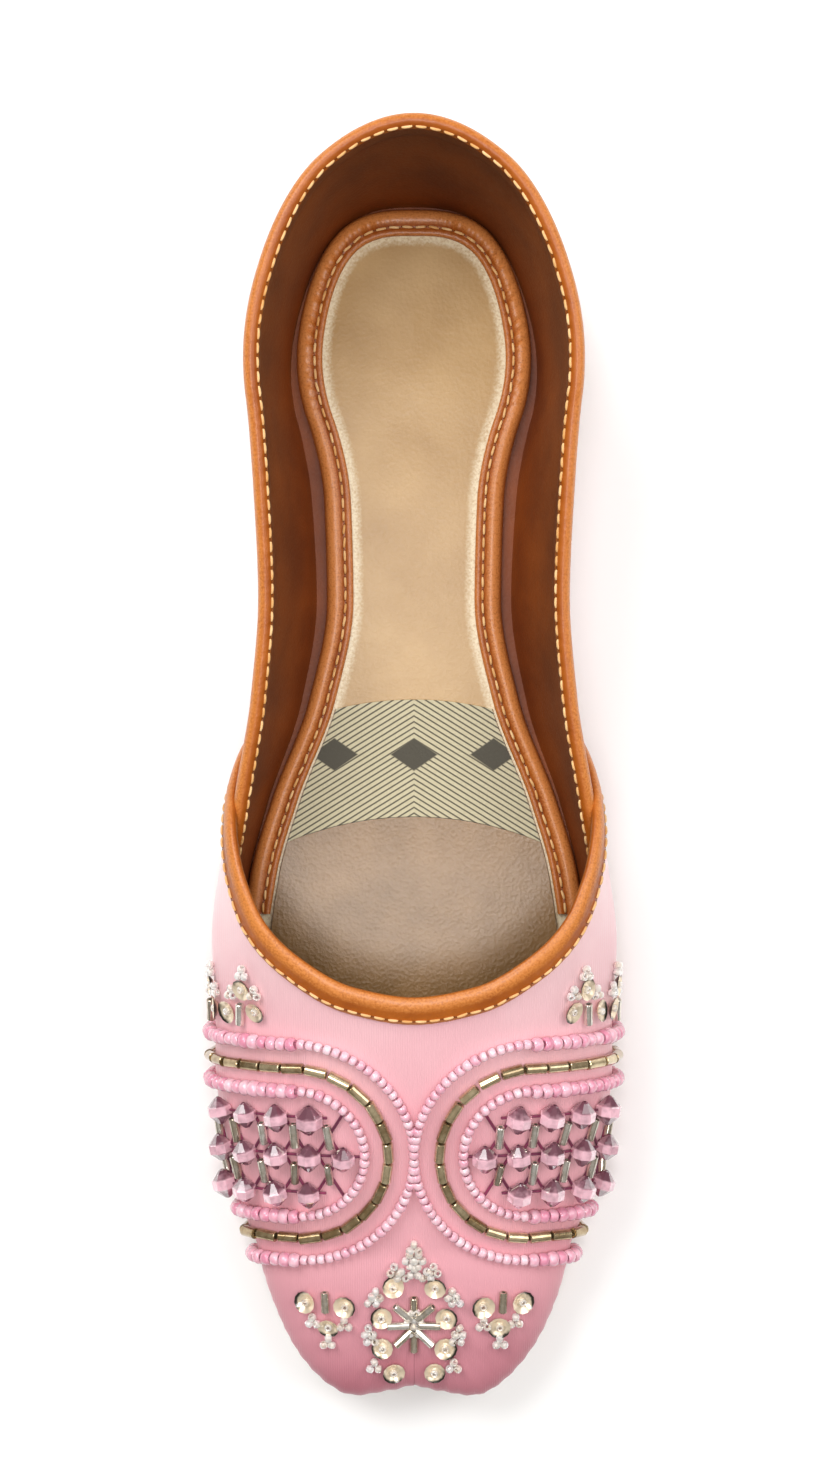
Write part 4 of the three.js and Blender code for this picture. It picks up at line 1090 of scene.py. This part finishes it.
# Sewn motifs: cup sequins, bugles and clear beads
motifs = {
    "sequin": 2.2,
    "clearBead": 1.05,
    "cluster": ((0.9, 0.0), (-0.5, 0.8), (-0.5, -0.8)),  # clear beads are sewn in threes
    "bugle": (4.2, 0.85),
    "flowerAt": -107.3,
    "spokeStart": 1.6,
    # across and along, one side of the flower; the other side mirrors it
    "flowerSequins": ((4.3, -99.3), (6.8, -105.6), (6.5, -111.9), (4.2, -117.1)),
    "flowerClear": ((7.6, -100.9), (8.4, -102.0), (9.4, -108.5), (8.8, -110.0), (8.0, -115.6), (3.9, -95.8),
                    (2.6, -96.8), (0.9, -93.2), (0.9, -105.6), (0.7, -108.6)),
    "flowerMiddle": ((0.0, -96.2), (0.0, -91.0), (0.0, -107.2), (0.0, -94.4)),
    # sideways, ahead of the sprig's middle
    "sprigSequins": ((3.9, -0.1), (-3.9, 0.5), (-0.4, 4.8)),
    "sprigBugle": (0.0, -0.3),
    "sprigClear": ((2.7, 3.8), (-3.6, 4.2), (-0.4, 8.0)),
    # name, across, along, which way it points
    "sprigs": (("toe_sprig", 17.6, -102.8, -1), ("throat_sprig", 35.5, -44.0, 1),
               ("side_sprig", 48.5, -44.6, 1)),
    "sequinEye": (0.72, 0.95),  # size and height of the bead in a sequin, then of the loose ones
    "looseBead": (0.8, 0.75),
}


def sewMotif(name, sequins, bugles, clear, replaced):  # places along and across; bugles also have an end
    radius = motifs["sequin"]
    spots, outs = vampLine(sequins, 0.25)
    ahead = unit(spots - spots.mean(0))
    lean = unit(outs + draw.normal(0, 0.12, outs.shape))
    # the cup's far lip is turned from the light, so it is a dark crescent
    aside, far = sequinBody[0][:, 1], sequinBody[0][:, 2]
    crescent = np.where(np.hypot(aside, far) > 0.9, far * 2.6 - 0.3, -0.4)
    sizes = jitter(len(spots), (radius, radius, radius), 0.04)
    scatter(name + "_sequins", sequinBody, spots, lean, ahead, sizes, sequinFoil, "sequin_foil", replaced, 25,
            draw.uniform(0, 0.25, len(spots)), crescent)
    radius = motifs["bugle"][1]
    seat = radius * beads["bugleSeat"]
    (starts, startOuts), (ends, endOuts) = [vampLine(route, seat) for route in zip(*bugles)]
    sizes = tubeSizes(np.linalg.norm(ends - starts, axis=1), radius)
    scatter(name + "_bugles", bugleBody, (starts + ends) / 2, unit(ends - starts), unit(startOuts + endOuts),
            sizes, silverGlass, "lined_glass", sharp=35)
    clear = [(at + a, across + c) for at, across in clear for a, c in motifs["cluster"]]
    bead, (eyeSize, eyeLift), (size, lift) = motifs["clearBead"], motifs["sequinEye"], motifs["looseBead"]
    small = np.array([eyeSize] * len(sequins) + [size] * len(clear)) * bead
    spots, outs = vampLine(sequins + clear, [eyeLift] * len(sequins) + [bead * lift] * len(clear))
    facing = np.tile((0.0, 1.0, 0.0), (len(spots), 1))
    inSequin = (np.arange(len(spots)) < len(sequins))[:, None]
    axis = unit(np.where(inSequin, outs, unit(draw.normal(0, 1, outs.shape))))
    scatter(name + "_clear_beads", seedBody, spots, axis, facing, small[:, None] * np.ones(3), clearGlass,
            "sequin_foil")


def buildMotifs():
    middle, length = motifs["flowerAt"], motifs["bugle"][0]

    def polar(turn, reach):
        return (middle + reach * math.cos(turn), reach * math.sin(turn))

    def mirrored(places):
        return [(at, side * across) for across, at in places for side in (1, -1)]

    start = motifs["spokeStart"]
    bugles = [(polar(turn, start), polar(turn, start + length)) for turn in np.arange(8) * math.pi / 4]
    single = [(at, across) for across, at in motifs["flowerMiddle"]]
    clear = mirrored(motifs["flowerClear"]) + single
    sewMotif("toe_flower", mirrored(motifs["flowerSequins"]), bugles, clear, ["toe_flower"])
    half = length / 2
    for hand, side in (("left", 1), ("right", -1)):
        for name, across, at, aim in motifs["sprigs"]:
            spot = lambda sideways, ahead: (at + aim * ahead, side * (across + sideways))
            sideways, ahead = motifs["sprigBugle"]
            stem = [(spot(sideways, ahead - half), spot(sideways, ahead + half))]
            replaced = [] if name == "side_sprig" else [name + "_" + hand]
            sewMotif(name + "_" + hand, [spot(*p) for p in motifs["sprigSequins"]], stem,
                     [spot(*p) for p in motifs["sprigClear"]], replaced)


stringSeeds("outer_seeds", ((beads["outer"], 1), (beads["outer"], -1)), "seed_row_outer")
for hand, side in (("left", 1), ("right", -1)):
    stringSeeds("inner_seeds_" + hand, ((beads["inner"], side),), "seed_row_" + hand)
    stringBugles("bugles_" + hand, side, "bugle_row_" + hand)
    buildLattice(hand, side)
buildMotifs()

# Pale floor, soft studio light, and the photo's view: straight down, heel to the top
studio = {
    "floor": "#f6f5f3",
    "floorSize": 4.0,
    "cameraAt": (0.0, 8.5, 480.0),
    "lens": 57.0,
    # name, place in mm, size in mm, watts
    "lights": (("key", (-330, 380, 620), 460, 3.9), ("fill", (430, 160, 560), 560, 2.1),
               ("over", (-15, -70, 900), 300, 3.0)),
    "worldLow": 0.08,  # darker to the horizon, so that glass and foil have dark edges
    "worldHigh": 0.42,
}


def buildStudio():
    half = studio["floorSize"] / 2
    mesh = bpy.data.meshes.new("floor")
    corners = [(-half, -half, 0), (half, -half, 0), (half, half, 0), (-half, half, 0)]
    mesh.from_pydata(corners, [], [(0, 1, 2, 3)])
    floor = bpy.data.objects.new("floor", mesh)
    scene.collection.objects.link(floor)
    material, tree, shader, place = startMaterial("white_paper_sweep", Roughness=0.8)
    mist = addNode(tree, "TexNoise", {"Vector": place, "Scale": 6.0})
    tone = addNode(tree, "Mix", {0: mist.outputs[0], 6: toLinear(studio["floor"]),
                                 7: toLinear("#fbfbfa")}, data_type="RGBA")
    tree.links.new(tone.outputs[2], shader.inputs["Base Color"])
    mesh.materials.append(material)
    for name, place, size, watts in studio["lights"]:
        lamp = bpy.data.lights.new(name, "AREA")
        lamp.shape = "DISK"
        lamp.size = size * mm
        lamp.energy = watts
        light = bpy.data.objects.new(name, lamp)
        scene.collection.objects.link(light)
        light.location = [v * mm for v in place]
        light.rotation_euler = (-light.location).to_track_quat("-Z", "Y").to_euler()
    world = bpy.data.worlds.new("studio_air")
    world.use_nodes = True
    tree = world.node_tree
    sky = addNode(tree, "TexCoord")
    axes = addNode(tree, "SeparateXYZ", {0: sky.outputs["Generated"]})
    rise = addNode(tree, "MapRange", {"Value": axes.outputs["Z"], "From Min": 0.0, "From Max": 0.8,
                                      "To Min": studio["worldLow"], "To Max": studio["worldHigh"]})
    tree.nodes["Background"].inputs["Color"].default_value = toLinear("#f7f6f4")
    tree.links.new(rise.outputs[0], tree.nodes["Background"].inputs["Strength"])
    scene.world = world
    camera = bpy.data.cameras.new("above")
    camera.sensor_width = 36.0
    camera.lens = studio["lens"]
    eye = bpy.data.objects.new("above", camera)
    scene.collection.objects.link(eye)
    eye.location = [v * mm for v in studio["cameraAt"]]
    scene.camera = eye
    scene.view_settings.view_transform = "Standard"


buildStudio()
